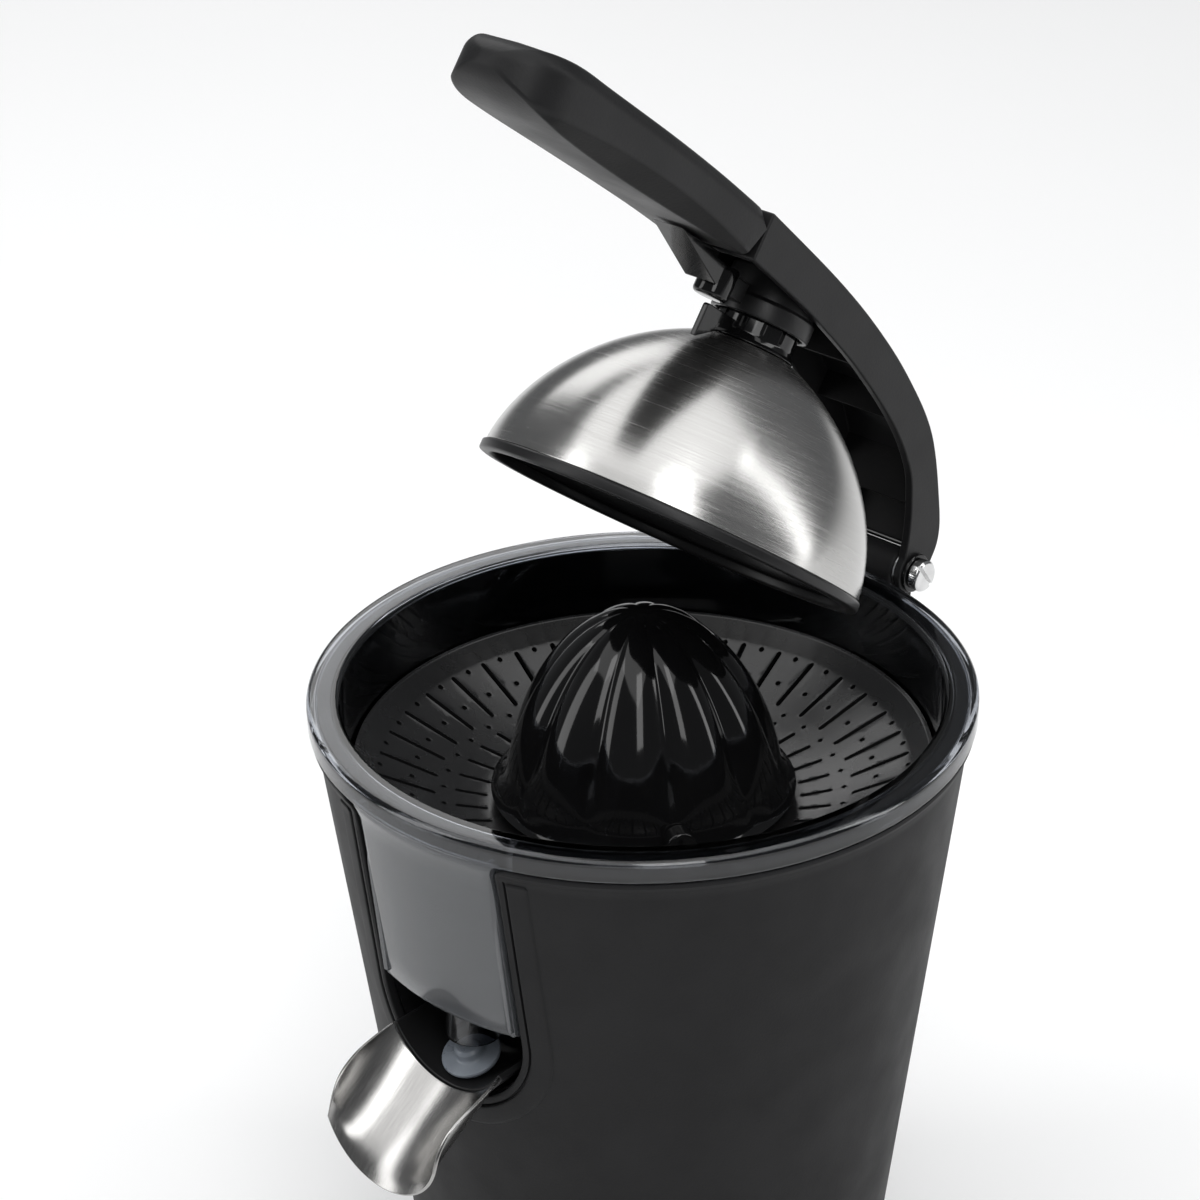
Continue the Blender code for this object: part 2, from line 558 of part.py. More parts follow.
carrier = trough("spout_carrier", [(-79.2, 139, 21.4, 128.5), (-66, 139.2, 21.4, 128.5),
                                   (-57, 139.6, 21.2, 128.5)], 1.8, M_SATIN)
for sx in (-1, 1):
    boolean(carrier, block(f"carrier_ear_{sx}", (sx * 12.0 - 1.6, -60 - SPOUT_Y, 119.6 - SPOUT_Z),
                           (sx * 12.0 + 1.6, -51.6 - SPOUT_Y, 125.6 - SPOUT_Z), parent=SPOUT,
                           cutter=True), 'UNION')
boolean(carrier, block("carrier_post", (-2.5, -72.2 - SPOUT_Y, 116.8 - SPOUT_Z), (2.5, -66.8 - SPOUT_Y, 119.0 - SPOUT_Z),
                       parent=SPOUT, cutter=True), 'UNION')
boolean(carrier, xrod("carrier_bore", 1.85, -30, 30, 0, 0, segs=14, parent=SPOUT, cutter=True))
xrod("spout_pin", 1.5, -19.6, 19.6, SPOUT_Y, SPOUT_Z, M_CHROME, 14)
trough("spout_trough", [(-79.6, 138.6, 21.6, 128.4), (-86, 133.6, 21.0, 126.8),
                        (-93, 128.2, 20.3, 124.8), (-99, 123.2, 19.6, 121.8),
                        (-103, 119.8, 19.5, 116.8), (-105.2, 118.0, 20.4, 111.5)], 0.9, M_STEEL)
stop = lathe("spout_stopper", [(0, 5.0), (3.2, 5.0), (4.0, 4.2), (4.0, 1.9), (8.0, 1.7), (8.2, 1.2), (7.8, 0),
                               (2.2, 0), (2.2, -1.0), (0, -1.0)], M_SILICONE, 22, SPOUT,
             loc=(0, -69.6 - SPOUT_Y, 121.0 - SPOUT_Z), closed=False)
stop.rotation_euler = (math.radians(20), 0, 0)

# ================================================================= press lever
ARM_TOP = [(EAR_R, 4.0), (5.2, 12.0), (-1.6, 20.8), (-19.5, 36.4), (-41.5, 46.0), (-65, 52.6),
           (-91, 57.4), (-128.4, 62.0)]
ARM_LOW = [(-128.4, 48.8), (-104, 46.4), (-88.5, 44.2), (-65, 39.8), (-39.5, 32.6), (-23.0, 24.6),
           (-15.0, 16.5), (-9.6, 8.6), (-EAR_R, 1.5)]
arm_outline = spline(ARM_TOP, 3) + spline(ARM_LOW, 3) + arc(0, 0, EAR_R, 180, 360, 10)
arm = slab("lever_arm", [arm_outline], ARM_HALF, 'YZ', 0, M_SATIN, LEVER)
inner_top = [(y - (2.6 if z < 30 else 1.2), z - (1.2 if z < 30 else 2.4)) for y, z in ARM_TOP[2:-1]] + [(-125.6, 59.3)]
inner_low = [(-125.6, 30.0), (-60, 20), (-30, 0), (-30, -20), (20, -20), (20, 7.6), (1.6, 7.6)]
boolean(arm, slab("arm_channel", [spline(inner_top, 3) + inner_low], ARM_HALF - 2.6, 'YZ', 0, None,
                  LEVER, cutter=True))
boolean(arm, xrod("arm_bore", PIN_R + GAP, -30, 30, 0, 0, parent=LEVER, cutter=True))

# Cross ribs stiffen the arm's channel.
ribs = []
for i, (ry, rz0, rz1) in enumerate(((-14.0, 16.0, 30.5), (-36.0, 34.0, 42.6), (-60.0, 41.5, 50.2))):
    rb = block(f"arm_rib_{i}", (-(ARM_HALF - 2), ry - 0.8, rz0), (ARM_HALF - 2, ry + 0.8, rz1),
               parent=LEVER, cutter=True)
    ribs.append(rb)
    boolean(arm, rb, 'UNION')

GRIP_HALF = 16.8
grip_edge = spline([(ARM_HALF, -128.8), (16.2, -142.0), (16.6, -160.0), (GRIP_HALF, -190.0), (GRIP_HALF, -219.2)], 2)
grip_plan = grip_edge + arc(0, -219.2, GRIP_HALF, 0, -180, 14)[1:-1] + [(-x, y) for x, y in reversed(grip_edge)]
GRIP_SIDE = spline([(-128.8, 62.0), (-140, 62.9), (-155, 63.8), (-175, 64.5), (-205, 65.2), (-219, 65.8),
                    (-229.5, 65.0), (-234.8, 62.0), (-236.0, 57.5), (-234.8, 52.0), (-229, 49.0), (-218, 48.2), (-190, 48.0),
                    (-165, 48.2), (-150, 48.4), (-128.8, 48.6)], 2)
grip = slab("lever_grip", [GRIP_SIDE], 20, 'YZ', 0, M_GRIP, LEVER)
boolean(grip, slab("lever_grip_plan", [grip_plan], 15, 'XY', 56.0, None, LEVER, cutter=True), 'INTERSECT')
bevel(grip, 2.2, 2, 50)

# Gusset under the grip, then the collar that takes the dome's neck.
gusset = slab("arm_gusset", [[(-147.0, 47.7), (-124.0, 40.0), (-124.0, 46.6), (-128.6, 46.6), (-128.6, 47.7)]],
              5.4, 'YZ', 0, M_GLOSS, LEVER)
collar = lathe("neck_collar", [(13.0, 51.8), (13.0, 44.2), (COLLAR_R, 43.4), (COLLAR_R, 38.5), (COLLAR_R - 1.4, 38.5),
                              (COLLAR_R - 1.4, 43.6), (12.1, 44.6), (12.1, 49.8), (2.6, 49.8), (2.6, 51.8)],
               M_SATIN, 24, LEVER, loc=(0, DOME_Y, 0))
boolean(collar, block("collar_web", (-2.2, -123.4, 40.0), (2.2, DOME_Y - COLLAR_R + 0.6, 46.0), parent=LEVER, cutter=True), 'UNION')
boolean(collar, rod("collar_column", 5.0, 37.6, 46.0, None, 18, LEVER, loc=(0, -118.4, 0), cutter=True), 'UNION')

# ================================================================= press dome
def dome_profile(inset, r_end, start, n=7):
    """Points from the rim to the neck, moved inwards along the surface's normal."""
    pts = []
    for i in range(n + 1):
        s = math.sin(math.pi / 2 * (i / n) ** 0.9 * 0.999)
        h = start + (DOME_H - start) * s
        q = max(0.0, 1 - (h / DOME_H) ** DOME_POW) ** (1 / DOME_POW)
        pts.append((DOME_R * q, h))
    out = []
    for i, (r, h) in enumerate(pts):
        a, b = pts[max(0, i - 1)], pts[min(n, i + 1)]
        dr, dh = b[0] - a[0], b[1] - a[1]
        ln = math.hypot(dr, dh)
        rr, hh = r - inset * dh / ln, h + inset * dr / ln
        if rr < r_end:
            prev = out[-1]
            f = (prev[0] - r_end) / (prev[0] - rr)
            out.append((r_end, prev[1] + (hh - prev[1]) * f))
            break
        out.append((rr, hh))
    return out


Z0 = DOME_Z - 50.0 + 2.0   # dome_pivot sits at the neck, the profile starts 2 mm above the rim
outer = dome_profile(0.0, NECK_R + 1.2, 1.6)
inner = dome_profile(0.8, NECK_R + 1.2, 1.6)
lathe("dome_shell", [(r, h + Z0) for r, h in reversed(outer)] + [(r, h + Z0) for r, h in inner],
      M_STEEL, 36, DOME)
l_out = dome_profile(1.2, NECK_R + 1.3, 2.4)
l_in = dome_profile(2.9, NECK_R + 0.6, 2.4)
lathe("dome_liner", [(2.6, l_out[-1][1] + Z0)] + [(r, h + Z0) for r, h in reversed(l_out)]
      + [(l_out[0][0], Z0 + 1.1), (DOME_R + 0.8, Z0 + 1.1), (DOME_R + 0.8, Z0 - 1.6), (DOME_R - 0.2, Z0 - 2.0),
         (DOME_R - 2.6, Z0 - 2.0), (DOME_R - 3.0, Z0 + 1.0)]
      + [(r, h + Z0) for r, h in l_in] + [(2.6, l_in[-1][1] + Z0)], M_SATIN, 36, DOME)
neck_z = outer[-1][1] + Z0 + 0.5
neck = lathe("dome_neck", [(NECK_R, 49.2 - 50), (NECK_R, neck_z + 0.6), (NECK_R + 1.4, neck_z - 0.4 + 0.2),
                           (NECK_R + 0.9, neck_z - 0.2), (2.2, neck_z - 0.2), (2.2, 40 - 50), (6.0, 40 - 50),
                           (6.0, 49.2 - 50)], M_GLOSS, 32, DOME)
rib_outer = [(-25.0, 36.2 - 50), (-NECK_R + 1.0, 36.2 - 50), (-NECK_R + 1.0, neck_z + 0.4), (-13.4, neck_z + 0.1),
             (-18.0, neck_z - 1.6), (-25.0, neck_z - 5.4)]
boolean(neck, slab("neck_rib", [rib_outer], 0.9, 'YZ', 0, None, DOME, cutter=True), 'UNION')
dome_screw = lathe("dome_screw", [(0, 44 - 50), (1.8, 44 - 50), (1.8, l_in[-1][1] + Z0 - 0.6), (4.0, l_in[-1][1] + Z0 - 0.6),
                                  (3.6, l_in[-1][1] + Z0 - 2.6), (0, l_in[-1][1] + Z0 - 2.6)], M_ZINC, 16, DOME, closed=False)

# ================================================================= hinge
pin = xrod("hinge_pin", PIN_R, -20.4, 18.0, HINGE_Y, HINGE_Z, M_CHROME, 20)
boolean(pin, xrod("hinge_pin_head", 4.6, 17.5, 20.6, HINGE_Y, HINGE_Z, segs=28, cutter=True), 'UNION')
slot = block("hinge_pin_slot", (19.6, -0.6, -8), (22, 0.6, 8), cutter=True)
slot.location = Vector((0, HINGE_Y, HINGE_Z)) * MM
slot.rotation_euler = (math.radians(35), 0, 0)
boolean(pin, slot)
for tag, sx in (("right", 1), ("left", -1)):
    w = xrod(f"hinge_washer_{tag}", 5.6, *sorted((sx * 16.3, sx * 17.2)), HINGE_Y, HINGE_Z, M_SATIN, 16)
    boolean(w, xrod(f"hinge_washer_bore_{tag}", PIN_R + GAP, -30, 30, HINGE_Y, HINGE_Z, segs=12, cutter=True))
    w = xrod(f"friction_washer_{tag}", 5.4, *sorted((sx * 12.65, sx * 13.15)), HINGE_Y, HINGE_Z, M_ZINC, 16)
    boolean(w, xrod(f"friction_washer_bore_{tag}", PIN_R + GAP, -30, 30, HINGE_Y, HINGE_Z, segs=12, cutter=True))
nut = xrod("hinge_nut", 4.4, -20.2, -17.5, HINGE_Y, HINGE_Z, M_CHROME, 6)
boolean(nut, xrod("hinge_nut_bore", PIN_R + GAP, -30, -10, HINGE_Y, HINGE_Z, cutter=True))

for ob in PARTS.objects:
    if ob.type == 'MESH':
        smooth(ob)
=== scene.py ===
import math
import bpy
import bmesh
from mathutils import Matrix, Vector
from mathutils.geometry import delaunay_2d_cdt


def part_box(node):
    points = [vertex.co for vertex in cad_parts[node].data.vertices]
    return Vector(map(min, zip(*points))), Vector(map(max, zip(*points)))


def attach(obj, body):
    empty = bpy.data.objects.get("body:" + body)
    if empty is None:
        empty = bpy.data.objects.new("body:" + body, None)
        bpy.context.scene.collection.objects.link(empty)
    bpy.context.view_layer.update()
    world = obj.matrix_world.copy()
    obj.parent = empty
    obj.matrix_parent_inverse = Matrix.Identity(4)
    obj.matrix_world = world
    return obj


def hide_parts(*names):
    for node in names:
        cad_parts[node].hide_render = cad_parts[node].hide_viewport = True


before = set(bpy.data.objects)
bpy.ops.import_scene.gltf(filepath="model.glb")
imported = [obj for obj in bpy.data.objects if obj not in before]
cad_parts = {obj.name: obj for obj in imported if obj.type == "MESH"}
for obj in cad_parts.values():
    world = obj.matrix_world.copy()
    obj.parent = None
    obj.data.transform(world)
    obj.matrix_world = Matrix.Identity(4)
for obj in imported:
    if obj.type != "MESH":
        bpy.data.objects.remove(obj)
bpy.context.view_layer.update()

MM = 0.001

# ------------------------------------------------------------------ positions, from the CAD
lo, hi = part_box("strainer_basket")
AX, AY = (lo[0] + hi[0]) / 2, (lo[1] + hi[1]) / 2          # the reamer's axis
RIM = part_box("juice_collector")[1][2]                      # top of the clear rim
AZ = RIM - 205 * MM
lo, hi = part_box("friction_washer_right")
HINGE = Vector((AX, (lo[1] + hi[1]) / 2, (lo[2] + hi[2]) / 2))
lo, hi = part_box("spout_pin")
SPOUT = Vector((AX, (lo[1] + hi[1]) / 2, (lo[2] + hi[2]) / 2))
LIFT = math.radians(38.6)                                  # the lever's angle above closed, at rest
LEVER = Matrix.Translation(HINGE) @ Matrix.Rotation(-LIFT, 4, 'X')
DOME = LEVER @ Matrix.Translation(Vector((0, -93.5, 50.0)) * MM)
AXIS = Matrix.Translation(Vector((AX, AY, AZ)))


def body_r(z):
    return 87.3 - 0.126 * (193.0 - z)


# ------------------------------------------------------------------ node helpers
class Mat:
    """A node material with its Principled shader, and short calls that add nodes."""

    def __init__(self, name):
        self.m = bpy.data.materials.new(name)
        self.m.use_nodes = True
        self.t = self.m.node_tree
        self.b = next(n for n in self.t.nodes if n.type == 'BSDF_PRINCIPLED')
        self.co = self.t.nodes.new('ShaderNodeTexCoord').outputs['Object']

    def add(self, kind, **kw):
        n = self.t.nodes.new(kind)
        for k, v in kw.items():
            setattr(n, k, v)
        return n

    def put(self, socket, value):
        if isinstance(value, bpy.types.NodeSocket):
            self.t.links.new(value, socket)
        else:
            socket.default_value = value

    def set(self, **kw):
        for k, v in kw.items():
            self.put(self.b.inputs[k.replace('_', ' ')], v)
        return self

    def math(self, op, a, b=0.0, c=0.0, clamp=False):
        n = self.add('ShaderNodeMath', operation=op, use_clamp=clamp)
        for i, v in enumerate((a, b, c)):
            self.put(n.inputs[i], v)
        return n.outputs[0]

    def scaled(self, x, y, z, co=None):
        n = self.add('ShaderNodeMapping')
        self.put(n.inputs['Vector'], co or self.co)
        n.inputs['Scale'].default_value = (x, y, z)
        return n.outputs[0]

    def noise(self, scale, detail=3.0, rough=0.5, co=None, dist=0.0):
        n = self.add('ShaderNodeTexNoise')
        self.put(n.inputs['Vector'], co or self.co)
        n.inputs['Scale'].default_value = scale
        n.inputs['Detail'].default_value = detail
        n.inputs['Roughness'].default_value = rough
        n.inputs['Distortion'].default_value = dist
        return n.outputs['Fac']

    def cells(self, scale, co=None, feature='F1'):
        n = self.add('ShaderNodeTexVoronoi', feature=feature)
        self.put(n.inputs['Vector'], co or self.co)
        n.inputs['Scale'].default_value = scale
        return n.outputs['Distance']

    def span(self, v, a, b, c, d):
        n = self.add('ShaderNodeMapRange')
        self.put(n.inputs[0], v)
        for i, x in enumerate((a, b, c, d), 1):
            n.inputs[i].default_value = x
        return n.outputs[0]

    def ramp(self, v, *stops):
        n = self.add('ShaderNodeValToRGB')
        self.put(n.inputs[0], v)
        r = n.color_ramp
        while len(r.elements) < len(stops):
            r.elements.new(0.5)
        for e, (p, c) in zip(r.elements, stops):
            e.position = p
            e.color = (*c, 1)
        return n.outputs[0]

    def mix(self, f, a, b):
        n = self.add('ShaderNodeMix', data_type='RGBA')
        self.put(n.inputs[0], f)
        self.put(n.inputs[6], (*a, 1) if isinstance(a, tuple) else a)
        self.put(n.inputs[7], (*b, 1) if isinstance(b, tuple) else b)
        return n.outputs[2]

    def bump(self, h, strength, dist, under=None):
        n = self.add('ShaderNodeBump')
        self.put(n.inputs['Height'], h)
        n.inputs['Strength'].default_value = strength
        n.inputs['Distance'].default_value = dist
        if under is not None:
            self.put(n.inputs['Normal'], under)
        return n.outputs[0]

    def polar(self, ka, kr, kz, co=None):
        """Coordinates round Z: angle, radius and height, each with its own scale."""
        s = self.add('ShaderNodeSeparateXYZ')
        self.put(s.inputs[0], co or self.co)
        a = self.math('ARCTAN2', s.outputs[1], s.outputs[0])
        r = self.math('SQRT', self.math('ADD', self.math('MULTIPLY', s.outputs[0], s.outputs[0]),
                                        self.math('MULTIPLY', s.outputs[1], s.outputs[1])))
        c = self.add('ShaderNodeCombineXYZ')
        self.put(c.inputs[0], self.math('MULTIPLY', self.math('SINE', a), ka))
        self.put(c.inputs[1], self.math('ADD', self.math('MULTIPLY', self.math('COSINE', a), ka),
                                        self.math('MULTIPLY', r, kr)))
        self.put(c.inputs[2], self.math('ADD', self.math('MULTIPLY', s.outputs[2], kz),
                                        self.math('MULTIPLY', r, kr)))
        return c.outputs[0]


def moulded(name, dark, light, rough, grain, depth, spread=0.06, blotch=22.0):
    """Moulded plastic: slow tone drift, fine grain in the surface, uneven sheen."""
    m = Mat(name)
    drift = m.noise(blotch, 3)
    speck = m.noise(grain * 0.6, 2)
    tone = m.math('ADD', m.math('MULTIPLY', drift, 0.75), m.math('MULTIPLY', speck, 0.25))
    m.set(Base_Color=m.ramp(tone, (0.3, dark), (0.7, light)),
          Roughness=m.span(m.noise(blotch * 3.1, 4), 0.25, 0.75, rough - spread, rough + spread))
    fine = m.bump(m.noise(grain, 2), 0.35, depth)
    m.set(Normal=m.bump(m.cells(grain * 0.45), 0.25, depth, fine))
    return m


# ------------------------------------------------------------------ materials
soft = moulded("soft_touch_black", (0.0105, 0.0105, 0.0112), (0.0135, 0.0135, 0.0143), 0.56, 2600, 0.00006)
soft.set(Specular_IOR_Level=0.16)
satin = moulded("satin_black_plastic", (0.0095, 0.0095, 0.010), (0.0125, 0.0125, 0.013), 0.36, 3000, 0.00003, 0.05)
satin.set(Specular_IOR_Level=0.28)
lever_black = moulded("lever_side_black", (0.010, 0.010, 0.0105), (0.013, 0.013, 0.0137), 0.43, 2400, 0.00005)
lever_black.set(Specular_IOR_Level=0.19)
grip_black = moulded("grip_black_plastic", (0.010, 0.010, 0.0105), (0.014, 0.014, 0.0147), 0.44, 2000, 0.00007)
grip_black.set(Specular_IOR_Level=0.19)
# Darker copy of the lever plastic, for the ribs inside the arm's channel: painted shade standing in for the shade that
# falls in the channel
ribs_painted_shade_black = moulded("arm_ribs_painted_shade_black", (0.0045, 0.0045, 0.0048), (0.0065, 0.0065, 0.0068), 0.6, 2400, 0.00005)
ribs_painted_shade_black.set(Specular_IOR_Level=0.08)
strain_black = moulded("strainer_satin_black", (0.0085, 0.0085, 0.0088), (0.0115, 0.0115, 0.012), 0.27, 2200, 0.00003, 0.05)
rubber = moulded("foot_rubber", (0.016, 0.016, 0.016), (0.023, 0.023, 0.022), 0.82, 1500, 0.0001)
inner = moulded("inner_plastic_grey", (0.055, 0.055, 0.058), (0.075, 0.075, 0.079), 0.5, 1500, 0.00006)
nylon = moulded("gear_nylon", (0.62, 0.59, 0.52), (0.74, 0.71, 0.63), 0.42, 1800, 0.00003)
nylon.set(Subsurface_Weight=0.15, Subsurface_Scale=0.002)

gloss = Mat("gloss_black_plastic")
swirl = gloss.noise(900, 2, co=gloss.polar(0.35, 0.0, 0.9))
gloss.set(Base_Color=gloss.ramp(gloss.noise(30, 3), (0.3, (0.0035, 0.0035, 0.0038)), (0.7, (0.0055, 0.0055, 0.0058))),
          Roughness=gloss.span(swirl, 0.3, 0.75, 0.055, 0.12),
          Normal=gloss.bump(gloss.noise(55, 2), 0.10, 0.0006), Specular_IOR_Level=0.36)


def brushed(name, ka, kr, kz, rough, aniso, tangent='Z', tones=((0.50, 0.495, 0.485), (0.66, 0.655, 0.645)), turn=0.25):
    """Brushed stainless steel: hair lines in tone, roughness and bump, with stretched gloss."""
    m = Mat(name)
    if tangent == 'Z':
        co = m.polar(ka, kr, kz)
    else:
        co = m.scaled(ka, kr, kz)
    hair = m.noise(1.0, 6, 0.72, co)
    cloud = m.noise(14, 3)
    tone = m.math('ADD', m.math('MULTIPLY', hair, 0.7), m.math('MULTIPLY', cloud, 0.3))
    m.set(Base_Color=m.ramp(tone, (0.28, tones[0]), (0.72, tones[1])), Metallic=1.0,
          Roughness=m.span(tone, 0.3, 0.7, rough - 0.06, rough + 0.07),
          Normal=m.bump(hair, 0.16, 0.00008), Anisotropic=aniso, Anisotropic_Rotation=turn)
    t = m.add('ShaderNodeTangent', direction_type='RADIAL', axis=tangent)
    m.put(m.b.inputs['Tangent'], t.outputs[0])
    return m


steel_dome = brushed("brushed_steel_dome", 2.2, 3200, 3200, 0.24, 0.7, 'Z', ((0.40, 0.395, 0.385), (0.54, 0.535, 0.525)))
steel_spout = brushed("brushed_steel_spout", 2600, 60, 220, 0.22, 0.0, 'X', ((0.29, 0.285, 0.28), (0.42, 0.415, 0.405)), 0.0)
chrome = Mat("bright_steel")
chrome.set(Base_Color=chrome.ramp(chrome.noise(300, 3), (0.3, (0.62, 0.62, 0.62)), (0.7, (0.72, 0.72, 0.72))), Metallic=1.0,
           Roughness=chrome.span(chrome.noise(1.0, 4, co=chrome.scaled(5200, 400, 400)), 0.3, 0.7, 0.10, 0.22),
           Normal=chrome.bump(chrome.noise(1.0, 3, co=chrome.scaled(6000, 300, 300)), 0.10, 0.00003))
zinc = Mat("zinc_plated_steel")
zinc.set(Base_Color=zinc.ramp(zinc.cells(900), (0.2, (0.42, 0.43, 0.44)), (0.7, (0.56, 0.57, 0.58))), Metallic=1.0,
         Roughness=zinc.span(zinc.noise(400, 3), 0.3, 0.7, 0.28, 0.46), Normal=zinc.bump(zinc.noise(1500, 2), 0.15, 0.00004))
bronze = Mat("sintered_bronze")
bronze.set(Base_Color=bronze.ramp(bronze.noise(700, 4), (0.3, (0.40, 0.24, 0.11)), (0.7, (0.56, 0.37, 0.19))), Metallic=1.0,
           Roughness=bronze.span(bronze.noise(500, 3), 0.3, 0.7, 0.3, 0.5), Normal=bronze.bump(bronze.noise(2600, 2), 0.2, 0.00005))

clear = Mat("smoke_clear_plastic")
clear.set(Base_Color=clear.ramp(clear.noise(25, 2), (0.3, (0.40, 0.42, 0.455)), (0.7, (0.46, 0.48, 0.52))),
          Roughness=clear.span(clear.noise(60, 3), 0.3, 0.7, 0.02, 0.05), Transmission_Weight=1.0, IOR=1.49, Specular_IOR_Level=0.35,
          Normal=clear.bump(clear.noise(40, 2), 0.05, 0.0008))
milky = Mat("smoke_clear_window")
milky.set(Base_Color=milky.ramp(milky.noise(18, 3), (0.3, (0.20, 0.21, 0.225)), (0.7, (0.26, 0.27, 0.285))),
          Roughness=milky.span(milky.noise(45, 3), 0.3, 0.7, 0.10, 0.18), Transmission_Weight=0.72, IOR=1.49, Specular_IOR_Level=0.35,
          Normal=milky.bump(milky.noise(40, 2), 0.06, 0.0008))
silicone = Mat("clear_silicone")
silicone.set(Base_Color=silicone.ramp(silicone.noise(180, 3), (0.3, (0.20, 0.225, 0.26)), (0.7, (0.26, 0.29, 0.33))),
             Roughness=silicone.span(silicone.noise(200, 2), 0.3, 0.7, 0.26, 0.34), Transmission_Weight=0.25, IOR=1.41,
             Normal=silicone.bump(silicone.noise(140, 2), 0.06, 0.0002))

# ------------------------------------------------------------------ mesh helpers
SCRATCH = bpy.data.collections.new("build_scratch")


def make(name, verts, faces, mat, body=None, nodes=(), place=AXIS, unit=MM, angle=38.0):
    me = bpy.data.meshes.new(name)
    me.from_pydata([(v[0] * unit, v[1] * unit, v[2] * unit) for v in verts], [], faces)
    me.update()
    bm = bmesh.new()
    bm.from_mesh(me)
    bmesh.ops.recalc_face_normals(bm, faces=bm.faces)
    bm.to_mesh(me)
    bm.free()
    ob = bpy.data.objects.new(name, me)
    bpy.context.scene.collection.objects.link(ob)
    ob.matrix_world = place
    if mat:
        me.materials.append(mat.m)
    ob["part"] = 1
    soften(ob, angle)
    if body:
        finish(ob, body, nodes)
    return ob


def soften(ob, angle=38.0):
    ob.data.shade_smooth()
    ob.data.set_sharp_from_angle(angle=math.radians(angle))
    return ob


def finish(ob, body, nodes=()):
    bpy.context.view_layer.update()
    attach(ob, body)
    if nodes:
        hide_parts(*nodes)
    return ob


def bake(ob):
    dg = bpy.context.evaluated_depsgraph_get()
    me = bpy.data.meshes.new_from_object(ob.evaluated_get(dg), depsgraph=dg)
    ob.modifiers.clear()
    old = ob.data
    ob.data = me
    bpy.data.meshes.remove(old)
    return ob


def cut(ob, tools, op='DIFFERENCE'):
    for t in tools if isinstance(tools, (list, tuple)) else [tools]:
        m = ob.modifiers.new("b", 'BOOLEAN')
        m.operation = op
        m.object = t
        m.solver = 'EXACT'
        bpy.context.view_layer.update()
        bake(ob)
        me = t.data
        bpy.data.objects.remove(t, do_unlink=True)
        bpy.data.meshes.remove(me)
    return ob


def rounded_edges(ob, width, segments=3, angle=40.0):
    b = ob.modifiers.new("e", 'BEVEL')
    b.width = width * MM
    b.segments = segments
    b.limit_method = 'ANGLE'
    b.angle_limit = math.radians(angle)
    b.use_clamp_overlap = True
    b.harden_normals = False
    bpy.context.view_layer.update()
    bake(ob)
    soften(ob, 180)
    w = ob.modifiers.new("w", 'WEIGHTED_NORMAL')
    w.keep_sharp = True
    w.weight = 60
    bpy.context.view_layer.update()
    return bake(ob)


def fillet(pts, r, n=4, closed=True):
    """Rounds the corners of an outline; r is one radius, or one for each point."""
    out = []
    k = len(pts)
    for i, p in enumerate(pts):
        ri = r[i] if isinstance(r, (list, tuple)) else r
        if ri <= 0 or (not closed and i in (0, k - 1)):
            out.append(tuple(p))
            continue
        a, b, c = Vector(pts[i - 1]), Vector(p), Vector(pts[(i + 1) % k])
        u, v = a - b, c - b
        if u.length < 1e-6 or v.length < 1e-6:
            out.append(tuple(p))
            continue
        lu, lv = u.length, v.length
        u.normalize()
        v.normalize()
        ang = math.acos(max(-1, min(1, u.dot(v))))
        if ang > math.radians(176) or ang < math.radians(3):
            out.append(tuple(p))
            continue
        d = min(ri / math.tan(ang / 2), lu * 0.48, lv * 0.48)
        rr = d * math.tan(ang / 2)
        mid = (u + v).normalized()
        cen = b + mid * (rr / math.sin(ang / 2))
        s, e = b + u * d - cen, b + v * d - cen
        a0 = math.atan2(s.y, s.x)
        a1 = math.atan2(e.y, e.x)
        da = (a1 - a0 + math.pi) % (2 * math.pi) - math.pi
        for j in range(n + 1):
            t = a0 + da * j / n
            out.append((cen.x + rr * math.cos(t), cen.y + rr * math.sin(t)))
    return out


def spline(points, per=6):
    out = []
    p = [points[0]] + list(points) + [points[-1]]
    for i in range(1, len(p) - 2):
        for k in range(per):
            t = k / per
            row = []
            for a, b, d, e in zip(p[i - 1], p[i], p[i + 1], p[i + 2]):
                row.append(0.5 * (2 * b + (d - a) * t + (2 * a - 5 * b + 4 * d - e) * t * t
                                  + (3 * b - a - 3 * d + e) * t ** 3))
            out.append(tuple(row))
    out.append(tuple(points[-1]))
    return out


def arc(cx, cy, r, a0, a1, n):
    return [(cx + r * math.cos(math.radians(a0 + (a1 - a0) * i / n)),
             cy + r * math.sin(math.radians(a0 + (a1 - a0) * i / n))) for i in range(n + 1)]


def skin(rows, wrap_u=False, wrap_v=False):
    """Faces of a grid of rows of points. Points of radius 0 are merged later."""
    nv = len(rows[0])
    verts = [p for row in rows for p in row]
    faces = []
    for i in range(len(rows) if wrap_u else len(rows) - 1):
        i2 = (i + 1) % len(rows)
        for j in range(nv if wrap_v else nv - 1):
            j2 = (j + 1) % nv
            faces.append((i * nv + j, i2 * nv + j, i2 * nv + j2, i * nv + j2))
    return verts, faces


def turned(name, profile, mat, body=None, nodes=(), segs=192, place=AXIS, closed=True, at=(0, 0), angle=38.0, wave=None):
    """Turned piece round Z; the profile is (radius, height), closed, or open with both ends on the axis."""
    rows = []
    for s in range(segs):
        a = 2 * math.pi * s / segs
        rows.append([(at[0] + r * math.cos(a), at[1] + r * math.sin(a), z) for r, z in profile])
    verts, faces = skin(rows, True, closed)
    ob = make(name, verts, faces, mat, None, place=place, angle=angle)
    bm = bmesh.new()
    bm.from_mesh(ob.data)
    bmesh.ops.remove_doubles(bm, verts=bm.verts, dist=1e-7)
    bmesh.ops.dissolve_degenerate(bm, edges=bm.edges, dist=1e-7)
    bmesh.ops.recalc_face_normals(bm, faces=bm.faces)
    bm.to_mesh(ob.data)
    bm.free()
    soften(ob, angle)
    if body:
        finish(ob, body, nodes)
    return ob


